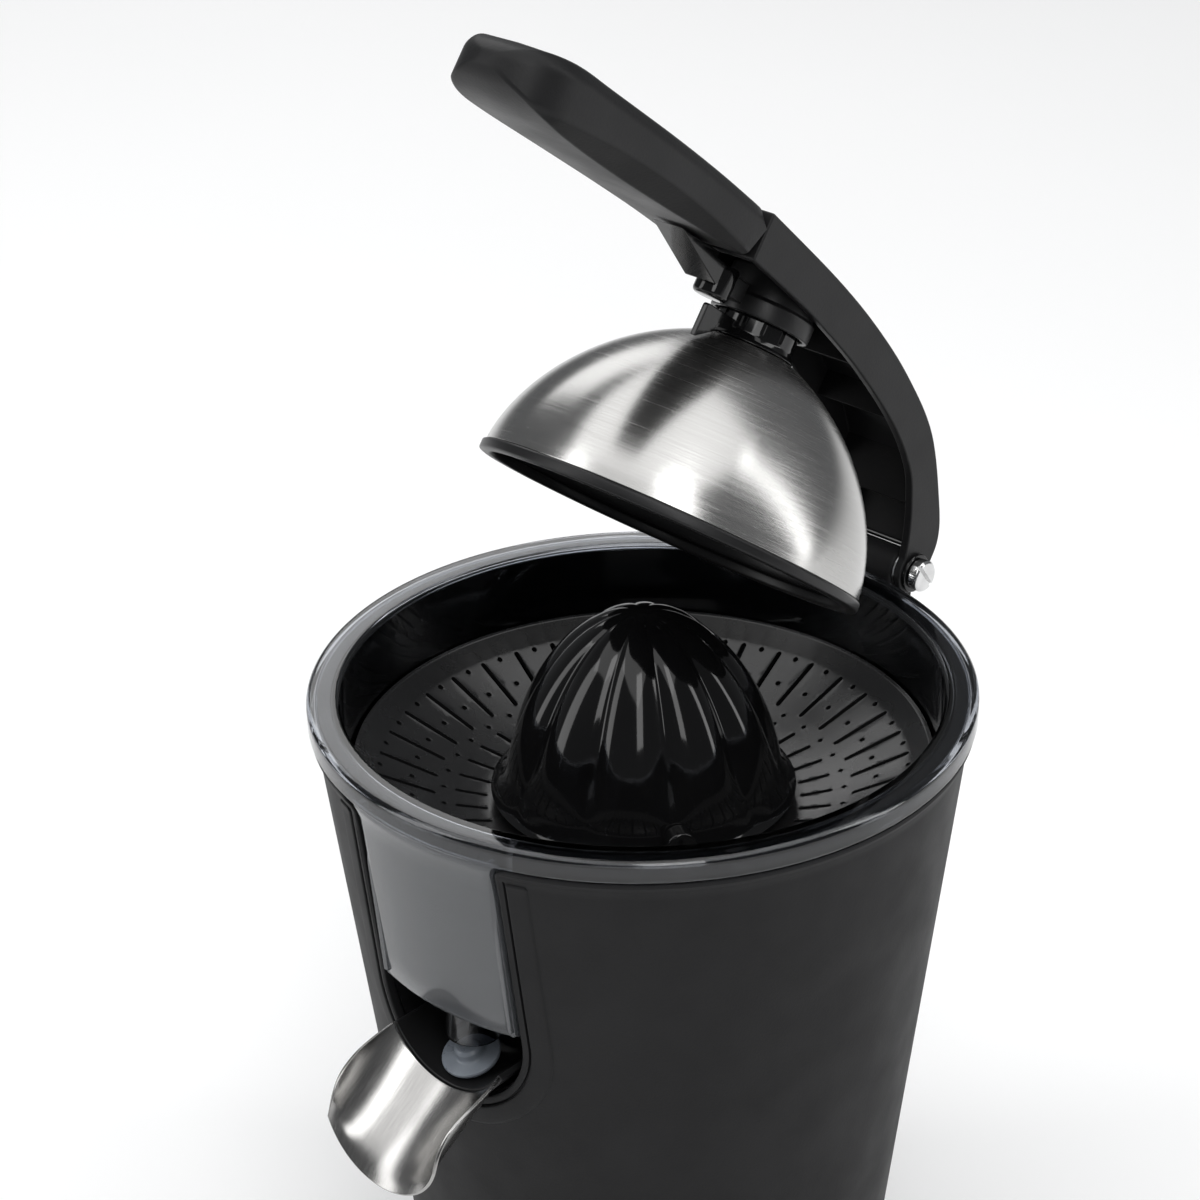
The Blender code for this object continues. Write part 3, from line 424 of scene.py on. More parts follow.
def prism(name, outline, h0, h1, plane, mat=None, place=AXIS, body=None, nodes=(), slot=None):
    """Outline pushed out between two planes. Plane 'YZ' runs along X, 'XZ' along Y, 'XY' along Z."""
    f = {'YZ': lambda u, v, w: (w, u, v), 'XZ': lambda u, v, w: (u, w, v), 'XY': lambda u, v, w: (u, v, w)}[plane]
    n = len(outline)
    verts = [f(u, v, h0) for u, v in outline] + [f(u, v, h1) for u, v in outline]
    faces = [tuple(range(n)), tuple(range(n, 2 * n))] + [(i, (i + 1) % n, n + (i + 1) % n, n + i) for i in range(n)]
    return make(name, verts, faces, mat, body, nodes, place)


def brick(name, a, b, mat=None, place=AXIS):
    return prism(name, [(a[0], a[1]), (b[0], a[1]), (b[0], b[1]), (a[0], b[1])], a[2], b[2], 'XY', mat, place)


def along_x(name, profile, y, z, mat=None, segs=64, place=AXIS):
    """Turned piece round a line along X; the profile is (radius, x), open, with both ends on the line."""
    rows = []
    for s in range(segs):
        a = 2 * math.pi * s / segs
        rows.append([(x, y + r * math.cos(a), z + r * math.sin(a)) for r, x in profile])
    verts, faces = skin(rows, True, False)
    ob = make(name, verts, faces, mat, None, place=place)
    bm = bmesh.new()
    bm.from_mesh(ob.data)
    bmesh.ops.remove_doubles(bm, verts=bm.verts, dist=1e-7)
    bmesh.ops.recalc_face_normals(bm, faces=bm.faces)
    bm.to_mesh(ob.data)
    bm.free()
    return soften(ob)


def join(name, obs):
    me = bpy.data.meshes.new(name)
    bm = bmesh.new()
    inv = obs[0].matrix_world.inverted()
    for o in obs:
        k = len(bm.verts)
        bm.from_mesh(o.data)
        bm.verts.ensure_lookup_table()
        bmesh.ops.transform(bm, matrix=inv @ o.matrix_world, verts=bm.verts[k:])
    bm.to_mesh(me)
    bm.free()
    for m in obs[0].data.materials:
        me.materials.append(m)
    first = obs[0]
    for o in obs[1:]:
        bpy.data.objects.remove(o, do_unlink=True)
    first.data = me
    first.name = name
    return first


# ================================================================= drive base
def u_path(w, top, n=40, zc=139.0):
    """Upright U at half width w, from its right top end round the bottom, as (x, z)."""
    side = [(w, top - (top - zc) * i / 10) for i in range(10)]
    return side + arc(0, zc, w, 0, -180, n) + [(-x, z) for x, z in reversed(side)]


wall = [(83.5, 202.4), (body_r(189.0) - 2.6, 189.0), (body_r(3.0) - 2.6, 3.0), (body_r(3.0), 3.0),
        (body_r(8.0), 8.0), (87.5, 193.0), (88.4, 195.4), (89.4, 196.9), (89.3, 198.0), (87.3, 198.2), (87.3, 202.4)]
housing = turned("housing_wall", fillet(wall, [0.4, 0, 0.5, 1.2, 0, 8, 3, 0.6, 0.4, 0.2, 0.5], 4), soft, segs=256)
CORNER = (30.0, 193.3, 5.0)              # centre and radius of the opening's two flared top corners


def mouth_path(w, run=36.0, n=44):
    """Edge of the front opening, w from its middle: along the top, round the flared corner, down and round the bottom."""
    cx, cz, cr = CORNER
    r = cr - (w - 25.0)
    half = [(run - (run - cx) * i / 4, cz + r) for i in range(4)] + arc(cx, cz, r, 90, 180, 10)
    half += [(w, cz - (cz - 139.0) * i / 8) for i in range(1, 8)]
    return half + arc(0, 139.0, w, 0, -180, n) + [(-x, z) for x, z in reversed(half)]


def wall_r(z):
    """Outer radius of the wall, with the flared lip under the rim."""
    if z <= 192.0:
        return body_r(z)
    line = ((192.0, 87.25), (193.0, 87.5), (195.4, 88.4), (196.9, 89.35), (199.0, 89.3))
    for (za, ra), (zb, rb) in zip(line, line[1:]):
        if z <= zb:
            return ra + (rb - ra) * (z - za) / (zb - za)
    return 89.3


def on_wall(x, z, h):
    r = wall_r(z) + h
    return (x, -math.sqrt(max(1.0, r * r - x * x)), z)


m = mouth_path(25.9, 30.0)
cut(housing, prism("c2", [(30.0, 230)] + m + [(-30.0, 230)], -110, -40, 'XZ'))
g_out, g_in = u_path(27.7, 193.9), u_path(27.05, 193.9)
groove = prism("c1", g_out + list(reversed(g_in)), -110, -40, 'XZ')
cut(groove, turned("c1b", [(0, 220), (body_r(220) - 0.7, 220), (body_r(60) - 0.7, 60), (0, 60)], None, segs=128, closed=False))
cut(housing, groove)
cord_cut = along_x("c3", [(0, -20), (5.0, -20), (5.0, 20), (0, 20)], 0, 0)
cord_cut.matrix_world = AXIS @ Matrix.Translation(Vector((0, 66, 26)) * MM) @ Matrix.Rotation(math.radians(90), 4, 'Z')
bpy.context.view_layer.update()
cut(housing, cord_cut)
soften(housing, 30)
finish(housing, "base", ["housing_shell"])

# Rounded lip of the opening, laid on the tapered wall.
lip = [(25.0, -2.6), (25.0, -0.62), (25.06, -0.34), (25.22, -0.12), (25.5, 0.02), (25.8, 0.06), (26.1, 0.03), (26.3, -0.12), (26.3, -0.7)]
paths = [mouth_path(w) for w, h in lip]
rows = []
for i in range(len(paths[0])):
    sink = {0: 0.8, 1: 0.25}.get(min(i, len(paths[0]) - 1 - i), 0.0)
    rows.append([on_wall(p[i][0], p[i][1], h - sink) for (w, h), p in zip(lip, paths)])
verts, faces = skin(rows)
make("opening_lip", verts, faces, soft, "base", ["housing_shell"], angle=60)

# Raised strip round the opening, with rounded top ends.
W0, W1 = 27.8, 33.5
strip = [(0.0, -0.6), (0.0, 0.10), (0.05, 0.32), (0.2, 0.47), (0.45, 0.55), (0.9, 0.58), (2.0, 0.58), (3.4, 0.58), (4.7, 0.58), (5.1, 0.53), (5.4, 0.38), (5.6, 0.12), (5.7, -0.2), (5.7, -0.6)]
TOPZ, CR = 193.8, 1.8
runs = [0.0, 0.05, 0.15, 0.35, 0.7, 1.2, 1.8, 4, 8, 14, 20, 28, 36, 44]
rows = []


def strip_row(d, sign, ang=None):
    row = []
    edge = CR - math.sqrt(max(0.0, CR * CR - max(0.0, CR - d) ** 2)) if ang is None else 0.0
    drop = 0.0 if ang is not None or d > 0.7 else (1 - d / 0.7) ** 2 * 1.1
    for off, h in strip:
        w = min(max(W0 + off, W0 + edge), W1 - edge)
        if ang is None:
            row.append(on_wall(sign * w, TOPZ - d, h - drop))
        else:
            row.append(on_wall(w * math.cos(ang), 139.0 + w * math.sin(ang), h))
    return row


for d in runs:
    rows.append(strip_row(d, 1))
for i in range(65):
    rows.append(strip_row(9, 1, -math.pi * i / 64))
for d in reversed(runs):
    rows.append(strip_row(d, -1))
verts, faces = skin(rows)
make("opening_raised_strip", verts, faces, soft, "base", ["housing_shell"], angle=60)

# Hinge lug, one with the wall.
lug = [(88.4, 194.6), (90.9, 196.5), (90.9, 205.0)] + arc(97.0, 205.0, 5.7, 165, 0, 12) + [(101.6, 195), (97.5, 182), (84.5, 150),
       (80.0, 150.5), (82.0, 180.0), (84.6, 192.4)]
lug_ob = prism("hinge_lug", lug, -12.4, 12.4, 'YZ', soft)
cut(lug_ob, along_x("c4", [(0, -20), (2.8, -20), (2.8, 20), (0, 20)], 97.0, 205.0))
rounded_edges(lug_ob, 1.1, 4, 45)
finish(lug_ob, "base", ["housing_shell"])

# ================================================================= clear collector
bowl = [(82.9, 203.0), (79.4, 177.0), (76.0, 146.0), (72.0, 141.0), (10.9, 141.0), (9.9, 145.0),
        (8.6, 162.0), (10.4, 162.0), (12.0, 147.0), (15.0, 143.0), (71.0, 143.0), (73.9, 147.5),
        (75.6, 177.6), (78.6, 178.4), (81.0, 204.0), (82.0, 205.0), (89.0, 205.0), (90.0, 204.0),
        (90.0, 198.6), (87.9, 198.6), (87.9, 203.0)]
rad = [0.8, 3, 3, 3, 1.2, 2, 0.8, 0.8, 2, 3, 3, 4, 0.8, 1.5, 0.7, 0.8, 1.6, 1.0, 0.9, 0.6, 0.9]
collector = turned("collector_bowl", fillet(bowl, rad, 5), clear, segs=224)
cut(collector, [brick("c5", (-21.4, -95, 143.2), (21.4, -66, 177.3)),
                turned("c6", [(0, 120), (5.9, 120), (5.9, 150), (0, 150)], None, segs=48, at=(0, -68.5), closed=False)])
soften(collector, 35)
finish(collector, "base", ["juice_collector"])

# Front window: a curved panel with its side and bottom walls, that fills the opening.
rows = []
for i in range(49):
    s = i / 48
    x = -23.4 + 46.8 * s
    row = []
    for z, inset in ((141.0, 0.9), (141.35, 0.45), (142.0, 0.2), (150, 0.2), (160, 0.2), (170, 0.2), (180, 0.2), (188.6, 0.2), (193.3, 0.2), (194.6, 0.2), (195.8, 0.4), (196.9, 0.7), (197.8, 0.9), (198.5, 1.0)):
        edge = 0.35 * (max(0, abs(s - 0.5) * 2 - 0.97) / 0.03) ** 2
        r = wall_r(z) - inset - edge
        hw = 23.4 if z < 193.4 else 30.0 - math.sqrt(6.6 ** 2 - (z - 193.3) ** 2)
        xx = x * hw / 23.4
        row.append((xx, -math.sqrt(r * r - xx * xx), z))
    rows.append(row)
back = [[(x, y + 2.0, z if z > 141.2 else 141.0) for x, y, z in row] for row in rows]
verts, faces = skin(rows)
k = len(verts)
v2, f2 = skin(back)
verts += v2
faces += [tuple(reversed([i + k for i in f])) for f in f2]
nr, nc = len(rows), len(rows[0])
for i in range(nr - 1):
    faces.append((i * nc, (i + 1) * nc, k + (i + 1) * nc, k + i * nc))
    faces.append((i * nc + nc - 1, k + i * nc + nc - 1, k + (i + 1) * nc + nc - 1, (i + 1) * nc + nc - 1))
for j in range(nc - 1):
    faces.append((j, k + j, k + j + 1, j + 1))
    faces.append(((nr - 1) * nc + j, (nr - 1) * nc + j + 1, k + (nr - 1) * nc + j + 1, k + (nr - 1) * nc + j))
make("collector_window", verts, faces, milky, "base", ["juice_collector"], angle=40)
for sx in (-1, 1):
    side = prism("window_side_" + ("right" if sx > 0 else "left"), [(-71.5, 142.8), (-78.3, 142.8), (-82.2, 178), (-82.6, 198.2), (-80.4, 198.2), (-77.0, 178), (-75.0, 150)],
                 *sorted((sx * 21.6, sx * 23.3)), 'YZ', milky)
    rounded_edges(side, 0.3, 2)
    finish(side, "base", ["juice_collector"])
floor_ob = prism("window_floor", [(-23.2, -77.2), (23.2, -77.2), (23.2, -68.0), (-23.2, -68.0)], 141.1, 143.0, 'XY', milky)
cut(floor_ob, turned("c7", [(0, 120), (5.9, 120), (5.9, 150), (0, 150)], None, segs=48, at=(0, -68.5), closed=False))
rounded_edges(floor_ob, 0.3, 2)
finish(floor_ob, "base", ["juice_collector"])
turned("outlet_nozzle", fillet([(7.7, 141.4), (7.7, 128.4), (5.9, 128.0), (5.9, 142.6), (6.4, 142.6), (7.4, 142.4)], [1.0, 0.6, 0.3, 0.4, 0.3, 0.3], 4), clear,
       "base", ["juice_collector"], segs=64, at=(0, -68.5))

# ================================================================= strainer
LINE = [(13.0, 169.2), (30.0, 169.45), (44.0, 170.0), (50.0, 171.35), (56.0, 173.2), (64.0, 176.45), (70.0, 178.95), (73.0, 180.6)]
line = fillet(LINE, [0, 20, 14, 0, 12, 0, 0, 0], 4, closed=False)
tail = fillet([(73.0, 180.6), (77.3, 184.6), (78.4, 184.75)], [0, 0.8, 0], 6, closed=False)
PITCH = 9.0
U = [0.0]
for (r0, z0), (r1, z1) in zip(line, line[1:]):
    U.append(U[-1] + math.hypot(r1 - r0, z1 - z0))


def at_u(u):
    for i in range(len(U) - 1):
        if u <= U[i + 1] or i == len(U) - 2:
            f = (u - U[i]) / (U[i + 1] - U[i])
            return (line[i][0] + (line[i + 1][0] - line[i][0]) * f, line[i][1] + (line[i + 1][1] - line[i][1]) * f)


def u_of(r):
    for i in range(len(U) - 1):
        if r <= line[i + 1][0]:
            return U[i] + (U[i + 1] - U[i]) * (r - line[i][0]) / (line[i + 1][0] - line[i][0])
    return U[-1]


def slot_loop(r0, r1, w, mid, n=5):
    """A slot with round ends, in (angle, distance along the dish), w wide in mm."""
    loop = []
    for a in range(n + 1):
        t = math.radians(180 * a / n)
        r = r1 - w / 2 + w / 2 * math.sin(t)
        loop.append((mid + math.degrees(w / 2 * math.cos(t) / r), u_of(r)))
    for a in range(n + 1):
        t = math.radians(180 + 180 * a / n)
        r = r0 + w / 2 + w / 2 * math.sin(t)
        loop.append((mid + math.degrees(w / 2 * math.cos(t) / r), u_of(r)))
    return loop


def round_hole(r, d, mid, n=12):
    return [(mid + math.degrees(d / 2 * math.cos(2 * math.pi * i / n) / r), u_of(r + d / 2 * math.sin(2 * math.pi * i / n))) for i in range(n)]


# One pitch runs from -4.5 to 4.5 degrees: the long slot is in its middle, the short slot and the
# round holes lie between long slots, moved in from the pitch's edge so that each is whole.
SHIFT = 2.25
holes = [slot_loop(56.4, 72.4, 1.45, -SHIFT), slot_loop(42.5, 51.4, 1.35, SHIFT),
         round_hole(71.6, 1.5, SHIFT), round_hole(63.0, 1.5, SHIFT), round_hole(54.4, 1.4, SHIFT)]
hole_polys = holes


def inside(p, poly):
    x, y = p
    c = False
    j = len(poly) - 1
    for i in range(len(poly)):
        xi, yi = poly[i]
        xj, yj = poly[j]
        if (yi > y) != (yj > y) and x < (xj - xi) * (y - yi) / (yj - yi) + xi:
            c = not c
        j = i
    return c


K = 1.0                                   # degrees to flat units, near true size at the slots
pts, edges = [], []
steps = [i * U[-1] / 40 for i in range(41)]
grid_t = [-4.5, -3.4, -2.25, -1.1, 0.0, 1.1, 2.25, 3.4, 4.5]
for gi, u in enumerate(steps):
    for ti, t in enumerate(grid_t):
        near = False
        if 0 < ti < len(grid_t) - 1:
            r = at_u(u)[0]
            for h in hole_polys:
                if inside((t, u), h) or min(math.hypot((t - a) * math.radians(1) * r, u - b) for a, b in h) < 0.45:
                    near = True
                    break
        if not near:
            pts.append(Vector((t * K, u)))
base_n = len(pts)
for h in hole_polys:
    k = len(pts)
    pts += [Vector((a * K, b)) for a, b in h]
    edges += [(k + i, k + (i + 1) % len(h)) for i in range(len(h))]
vs, es, fs, *_ = delaunay_2d_cdt(pts, edges, [], 0, 1e-6)
sector = []
for f in fs:
    c = sum((vs[i] for i in f), Vector((0, 0))) / len(f)
    if not any(inside((c.x / K, c.y), h) for h in hole_polys):
        sector.append(tuple(f))
verts, faces = [], []
for s in range(40):
    k = len(verts)
    for v in vs:
        r, z = at_u(max(0.0, min(U[-1], v.y)))
        a = math.radians(v.x / K + s * PITCH + SHIFT)
        verts.append((r * math.cos(a), r * math.sin(a), z))
    faces += [tuple(k + i for i in f) for f in sector]
plate_n = len(verts)
ring_a = [s * PITCH + SHIFT + t for s in range(40) for t in grid_t[:-1]]
rows = [[(r * math.cos(math.radians(a)), r * math.sin(math.radians(a)), z) for r, z in tail] for a in ring_a]
v2, f2 = skin(rows, True)
verts += v2
faces += [tuple(plate_n + i for i in f) for f in f2]
strainer = make("strainer_dish", verts, faces, strain_black)
bm = bmesh.new()
bm.from_mesh(strainer.data)
bmesh.ops.remove_doubles(bm, verts=bm.verts, dist=2e-6)
bmesh.ops.recalc_face_normals(bm, faces=bm.faces)
up = sum(f.normal.z for f in bm.faces if f.calc_center_median().z < 0.18 * 1.0)
if up < 0:
    bmesh.ops.reverse_faces(bm, faces=bm.faces)
bm.to_mesh(strainer.data)
bm.free()
sol = strainer.modifiers.new("sheet", 'SOLIDIFY')
sol.thickness = 1.7 * MM
sol.offset = -1.0
sol.use_even_offset = True
bpy.context.view_layer.update()
bake(strainer)
rounded_edges(strainer, 0.16, 2, 60)
finish(strainer, "base", ["strainer_basket"])

# ================================================================= reamer
def cone_r(t):
    if t < 0.12:
        return 41.6 - 4.0 * (t / 0.12) ** 0.7
    u = (t - 0.12) / 0.88
    return 37.6 * math.sqrt(max(0.0, 1 - u ** 1.75)) * (1 - 0.10 * u)


def cone_point(a, t):
    """Ridged cone: round ridges and narrow valleys above a smooth flared skirt."""
    fade = max(0.0, min(1.0, (t - 0.10) / 0.28))
    fade = fade * fade * (3 - 2 * fade)
    s = math.sqrt(math.sin(5 * a) ** 2 + 0.012)
    valley = max(0.0, 1 - s) ** 1.5
    low = 0.22 + 0.78 * fade
    r = cone_r(t) * (1 - 0.085 * low * valley * min(1.0, t / 0.05) - 0.022 * low * (1 - s))
    z = 173.8 + (227.0 - 173.8) * t
    return r, z


ts = [0.0, 0.004, 0.012, 0.025] + [0.045 + 0.02 * i for i in range(44)] + [0.94, 0.955, 0.968, 0.978, 0.986, 0.992, 0.996, 0.9985]
NA = 360
rows = []
for s in range(NA):
    a = 2 * math.pi * s / NA
    row = [((r) * math.cos(a), r * math.sin(a), z) for r, z in ((38.9, 176.5), (39.0, 174.6), (39.5, 174.0), (40.3, 173.8), (41.0, 173.95), (41.45, 174.4))]
    for t in ts[3:]:
        r, z = cone_point(a, t)
        row.append((r * math.cos(a), r * math.sin(a), z))
    rows.append(row)
verts, faces = skin(rows, True)
tip = len(verts)
verts.append((0, 0, 227.0))
nv = len(rows[0])
for s in range(NA):
    faces.append((s * nv + nv - 1, ((s + 1) % NA) * nv + nv - 1, tip))
cone = make("reamer_ribbed_cone", verts, faces, gloss, angle=70)
finish(cone, "reamer", ["reamer_cone"])
turned("reamer_hub", fillet([(7.2, 165.6), (7.2, 184), (4.3, 184), (4.3, 165.6)], 0.5, 3), gloss, "reamer", ["reamer_cone"], segs=64)
# Small arched tab on the skirt's edge, the grip for lifting the cone off.
tab = prism("skirt_tab", [(-4.2, 174.2), (4.2, 174.2), (4.2, 178.6)] + arc(0, 178.6, 4.2, 0, 180, 18)[1:-1] + [(-4.2, 178.6)], 37.0, 42.3, 'XZ', gloss,
            place=AXIS @ Matrix.Rotation(math.radians(42.8 + 12.8 + 180), 4, 'Z'))
rounded_edges(tab, 0.8, 4, 40)
finish(tab, "reamer", ["reamer_cone"])

# ================================================================= spout
def trough_sheet(name, stations, wall, mat, body, nodes, n=56, per=8, edge=0.3):
    st = spline(stations, per)
    rows = []
    for y, zc, r, ztop in st:
        a = math.degrees(math.asin(max(-1, min(1, (ztop - zc) / r))))
        rows.append([(x, y, z) for x, z in arc(0, zc, r, 180 - a, 360 + a, n)])
    verts, faces = skin(rows)
    ob = make(name, verts, faces, mat)
    me = ob.data
    c = me.polygons[len(me.polygons) // 4]
    s = ob.modifiers.new("sheet", 'SOLIDIFY')
    s.thickness = wall * MM
    s.use_even_offset = False
    mid = c.center
    out = Vector((mid.x, 0, mid.z - 0.139))
    s.offset = 1.0 if c.normal.dot(out) > 0 else -1.0
    bpy.context.view_layer.update()
    bake(ob)
    rounded_edges(ob, edge, 3, 60)
    finish(ob, body, nodes)
    return ob


trough_sheet("spout_steel_trough", [(-79.6, 138.6, 21.6, 128.4), (-86, 133.6, 21.0, 126.8), (-93, 128.2, 20.3, 124.8),
                                    (-99, 123.2, 19.6, 121.8), (-103, 119.8, 19.5, 116.8), (-105.2, 118.0, 20.4, 111.5)],
             0.9, steel_spout, "spout", ["spout_trough"])

trough_sheet("spout_black_carrier", [(-79.2, 139, 21.4, 128.5), (-72.5, 139.1, 21.4, 128.5), (-66, 139.2, 21.4, 128.5), (-57, 139.6, 21.2, 128.5)],
             1.8, satin, "spout", ["spout_carrier"], edge=0.35)
for sx in (-1, 1):
    ear = brick("carrier_ear_" + ("right" if sx > 0 else "left"), (sx * 12.0 - 1.6, -60, 119.4), (sx * 12.0 + 1.6, -51.6, 125.6), satin)
    cut(ear, along_x("c12", [(0, -30), (1.85, -30), (1.85, 30), (0, 30)], -54.6, 122.6, segs=32))
    rounded_edges(ear, 0.3, 2, 50)
    finish(ear, "spout", ["spout_carrier"])
post = brick("stopper_post", (-2.5, -72.2, 117.2), (2.5, -66.8, 119.9), satin)
rounded_edges(post, 0.3, 2, 50)
finish(post, "spout", ["spout_carrier"])
turned("silicone_stopper", fillet([(0, 5.0), (3.2, 5.0), (4.0, 4.2), (4.0, 1.9), (8.0, 1.7), (8.2, 1.0), (7.8, 0), (2.2, 0), (2.2, -1.0), (0, -1.0)],
                                  [0, 0.5, 0.4, 0.8, 0.3, 0.3, 0.3, 0.2, 0.3, 0], 4, closed=False), silicone, "spout", ["spout_stopper"], segs=96,
       place=AXIS @ Matrix.Translation(Vector((0, -69.6, 121.0)) * MM) @ Matrix.Rotation(math.radians(20), 4, 'X'), closed=False)

# ================================================================= lever
ARM_TOP = [(6.3, 4.0), (5.2, 12.0), (-1.6, 20.8), (-19.5, 36.4), (-41.5, 46.0), (-65, 52.6), (-91, 57.4), (-128.4, 62.0)]
ARM_LOW = [(-128.4, 48.8), (-104, 46.4), (-88.5, 44.2), (-65, 39.8), (-39.5, 32.6), (-23.0, 24.6), (-15.0, 16.5), (-9.6, 8.6), (-6.3, 1.5)]
arm = prism("lever_arm_channel", spline(ARM_TOP, 8) + spline(ARM_LOW, 8) + arc(0, 0, 6.3, 180, 360, 20)[1:-1], -16, 16, 'YZ', lever_black, LEVER)
inner_top = [(y - (2.6 if z < 30 else 1.2), z - (1.2 if z < 30 else 2.4)) for y, z in ARM_TOP[2:-1]] + [(-125.6, 59.3)]
inner_low = [(-125.6, 30.0), (-60, 20), (-30, 0), (-30, -20), (20, -20), (20, 7.0), (1.6, 7.0)]
cut(arm, [prism("c9", spline(inner_top, 8) + inner_low, -13.4, 13.4, 'YZ', place=LEVER),
          along_x("c10", [(0, -30), (2.8, -30), (2.8, 30), (0, 30)], 0, 0, place=LEVER)])
rounded_edges(arm, 0.9, 4, 50)
arm.data.transform(Matrix.Rotation(-LIFT, 4, 'X'))
arm.matrix_world = Matrix.Translation(HINGE)
finish(arm, "lever", ["lever_arm"])
# The ribs take the darker copy of the lever plastic: painted shade inside the arm's channel
for i, (ry, z0, z1) in enumerate(((-14.0, 16.0, 30.5), (-36.0, 34.0, 42.6), (-60.0, 41.5, 50.2))):
    rib = brick("arm_rib_%d" % (i + 1), (-13.6, ry - 0.8, z0), (13.6, ry + 0.8, z1), ribs_painted_shade_black, LEVER)
    rounded_edges(rib, 0.25, 2, 50)
    finish(rib, "lever", ["lever_arm"])


def grip_section(w, z0, z1, c, k):
    """Grip cross-section as (x, z): crowned top, upright sides, a slanting facet low down on each side."""
    h = z1 - z0
    c = min(c, 0.5 * w, 0.4 * h)
    m = min(w, h / 2)
    rt, rb = min(3.4 + 3.0 * k, 0.8 * m), min(1.4 + 5.0 * k, 0.8 * m)
    up = min(3.6, 0.5 * m)
    pts = [(w, z0 + c * 1.05), (w, z1 - up), (w - 0.7 * up, z1 - 0.12 * m * 0.35), (0, z1), (-(w - 0.7 * up), z1 - 0.12 * m * 0.35),
           (-w, z1 - up), (-w, z0 + c * 1.05), (-w + c * 1.25, z0 + 0.03 * m), (0, z0), (w - c * 1.25, z0 + 0.03 * m)]
    return fillet(pts, [rb, rt, rt, 0, rt, rt, rb, 1.8, 0, 1.8], 6)


def along(line, y):
    """Height of a smooth line at y; the line's y falls from point to point."""
    for (ya, za), (yb, zb) in zip(line, line[1:]):
        if yb <= y <= ya:
            return za + (zb - za) * (y - ya) / (yb - ya) if ya != yb else za
    return line[-1][1]


GRIP_TOP = spline([(-128.8, 62.0), (-140, 62.9), (-155, 63.8), (-175, 64.5), (-205, 65.0), (-217, 65.2), (-227, 64.2), (-232.6, 62.0), (-235.4, 59.2), (-236.0, 57.0)], 8)
GRIP_LOW = spline([(-128.8, 48.6), (-150, 48.4), (-165, 48.2), (-190, 48.0), (-214, 48.2), (-226, 49.3), (-232.6, 51.8), (-235.4, 54.6), (-236.0, 57.0)], 8)
stations = [-128.7 - (219.2 - 128.7) * i / 30 for i in range(31)]
stations += [-219.2 - 16.7 * math.sin(math.radians(90 * i / 30)) for i in range(1, 31)]
rows = []
for dy in stations:
    g = (-dy - 128.7) / 107.3
    w = 16.0 + 0.7 * min(1.0, g * 2.2)
    t = (-dy - 219.2) / 16.8
    if t > 0:
        w *= math.sqrt(max(0.0, 1 - t ** 2))
    z1, z0 = along(GRIP_TOP, dy), along(GRIP_LOW, dy)
    c = 0.6 + 4.4 * max(0.0, math.sin(math.pi * min(1.0, g * 1.06))) ** 0.8
    rows.append([(x, dy, z) for x, z in grip_section(max(0.3, w), z0, max(z0 + 0.4, z1), c, 0.3 * max(0.0, min(1.0, (g - 0.80) / 0.20)))])
verts, faces = skin(rows, False, True)
nv = len(rows[0])
faces.append(tuple(range(nv)))
faces.append(tuple((len(rows) - 1) * nv + j for j in range(nv)))
grip = make("lever_hand_grip", verts, faces, grip_black, place=LEVER, angle=60)
grip.data.transform(Matrix.Rotation(-LIFT, 4, 'X'))
grip.matrix_world = Matrix.Translation(HINGE)
finish(grip, "lever", ["lever_grip"])

gus = prism("grip_gusset", fillet([(-147.0, 47.8), (-124.0, 40.0), (-124.0, 46.6), (-128.4, 46.6), (-128.6, 48.1)], [0, 1.0, 0.3, 0, 0], 4), -5.2, 5.2, 'YZ', gloss, LEVER)
rounded_edges(gus, 0.5, 3, 40)
finish(gus, "lever", ["arm_gusset"])

collar = turned("neck_collar_cup", fillet([(13.0, 51.8), (13.0, 44.2), (14.0, 43.4), (14.0, 38.5), (12.6, 38.5), (12.6, 43.6), (12.1, 44.6), (12.1, 49.8), (2.6, 49.8), (2.6, 51.8)],
                                            [0.8, 0.4, 0.6, 0.5, 0.4, 0.3, 0.3, 0.6, 0.2, 0.2], 4), satin,
                segs=96, place=LEVER @ Matrix.Translation(Vector((0, -93.5, 0)) * MM))
finish(collar, "lever", ["neck_collar"])
web = brick("collar_web", (-2.2, -121.4, 40.2), (2.2, -107.0, 46.0), satin, LEVER)
rounded_edges(web, 0.5, 3)
finish(web, "lever", ["neck_collar"])
turned("collar_column", fillet([(0, 46.6), (5.0, 46.6), (5.0, 37.6), (0, 37.6)], [0, 0.3, 1.2, 0], 4, closed=False), gloss, "lever", ["neck_collar"],
       segs=64, place=LEVER @ Matrix.Translation(Vector((0, -118.4, 0)) * MM), closed=False)

# ================================================================= press dome
DH, DR, DP = 53.5, 53.7, 1.75
Z0 = -21.5 - 50.0 + 2.0


def dome_line(inset, r_end, start, n=60):
    pts = []
    for i in range(n + 1):
        s = math.sin(math.pi / 2 * (i / n) ** 0.9 * 0.999)
        h = start + (DH - start) * s
        q = max(0.0, 1 - (h / DH) ** DP) ** (1 / DP)
        pts.append((DR * q, h))
    out = []
    for i, (r, h) in enumerate(pts):
        a, b = pts[max(0, i - 1)], pts[min(n, i + 1)]
        dr, dh = b[0] - a[0], b[1] - a[1]
        ln = math.hypot(dr, dh)
        rr, hh = r - inset * dh / ln, h + inset * dr / ln
        if rr < r_end:
            p = out[-1]
            f = (p[0] - r_end) / (p[0] - rr)
            out.append((r_end, p[1] + (hh - p[1]) * f))
            break
        out.append((rr, hh))
    return [(r, h + Z0) for r, h in out]


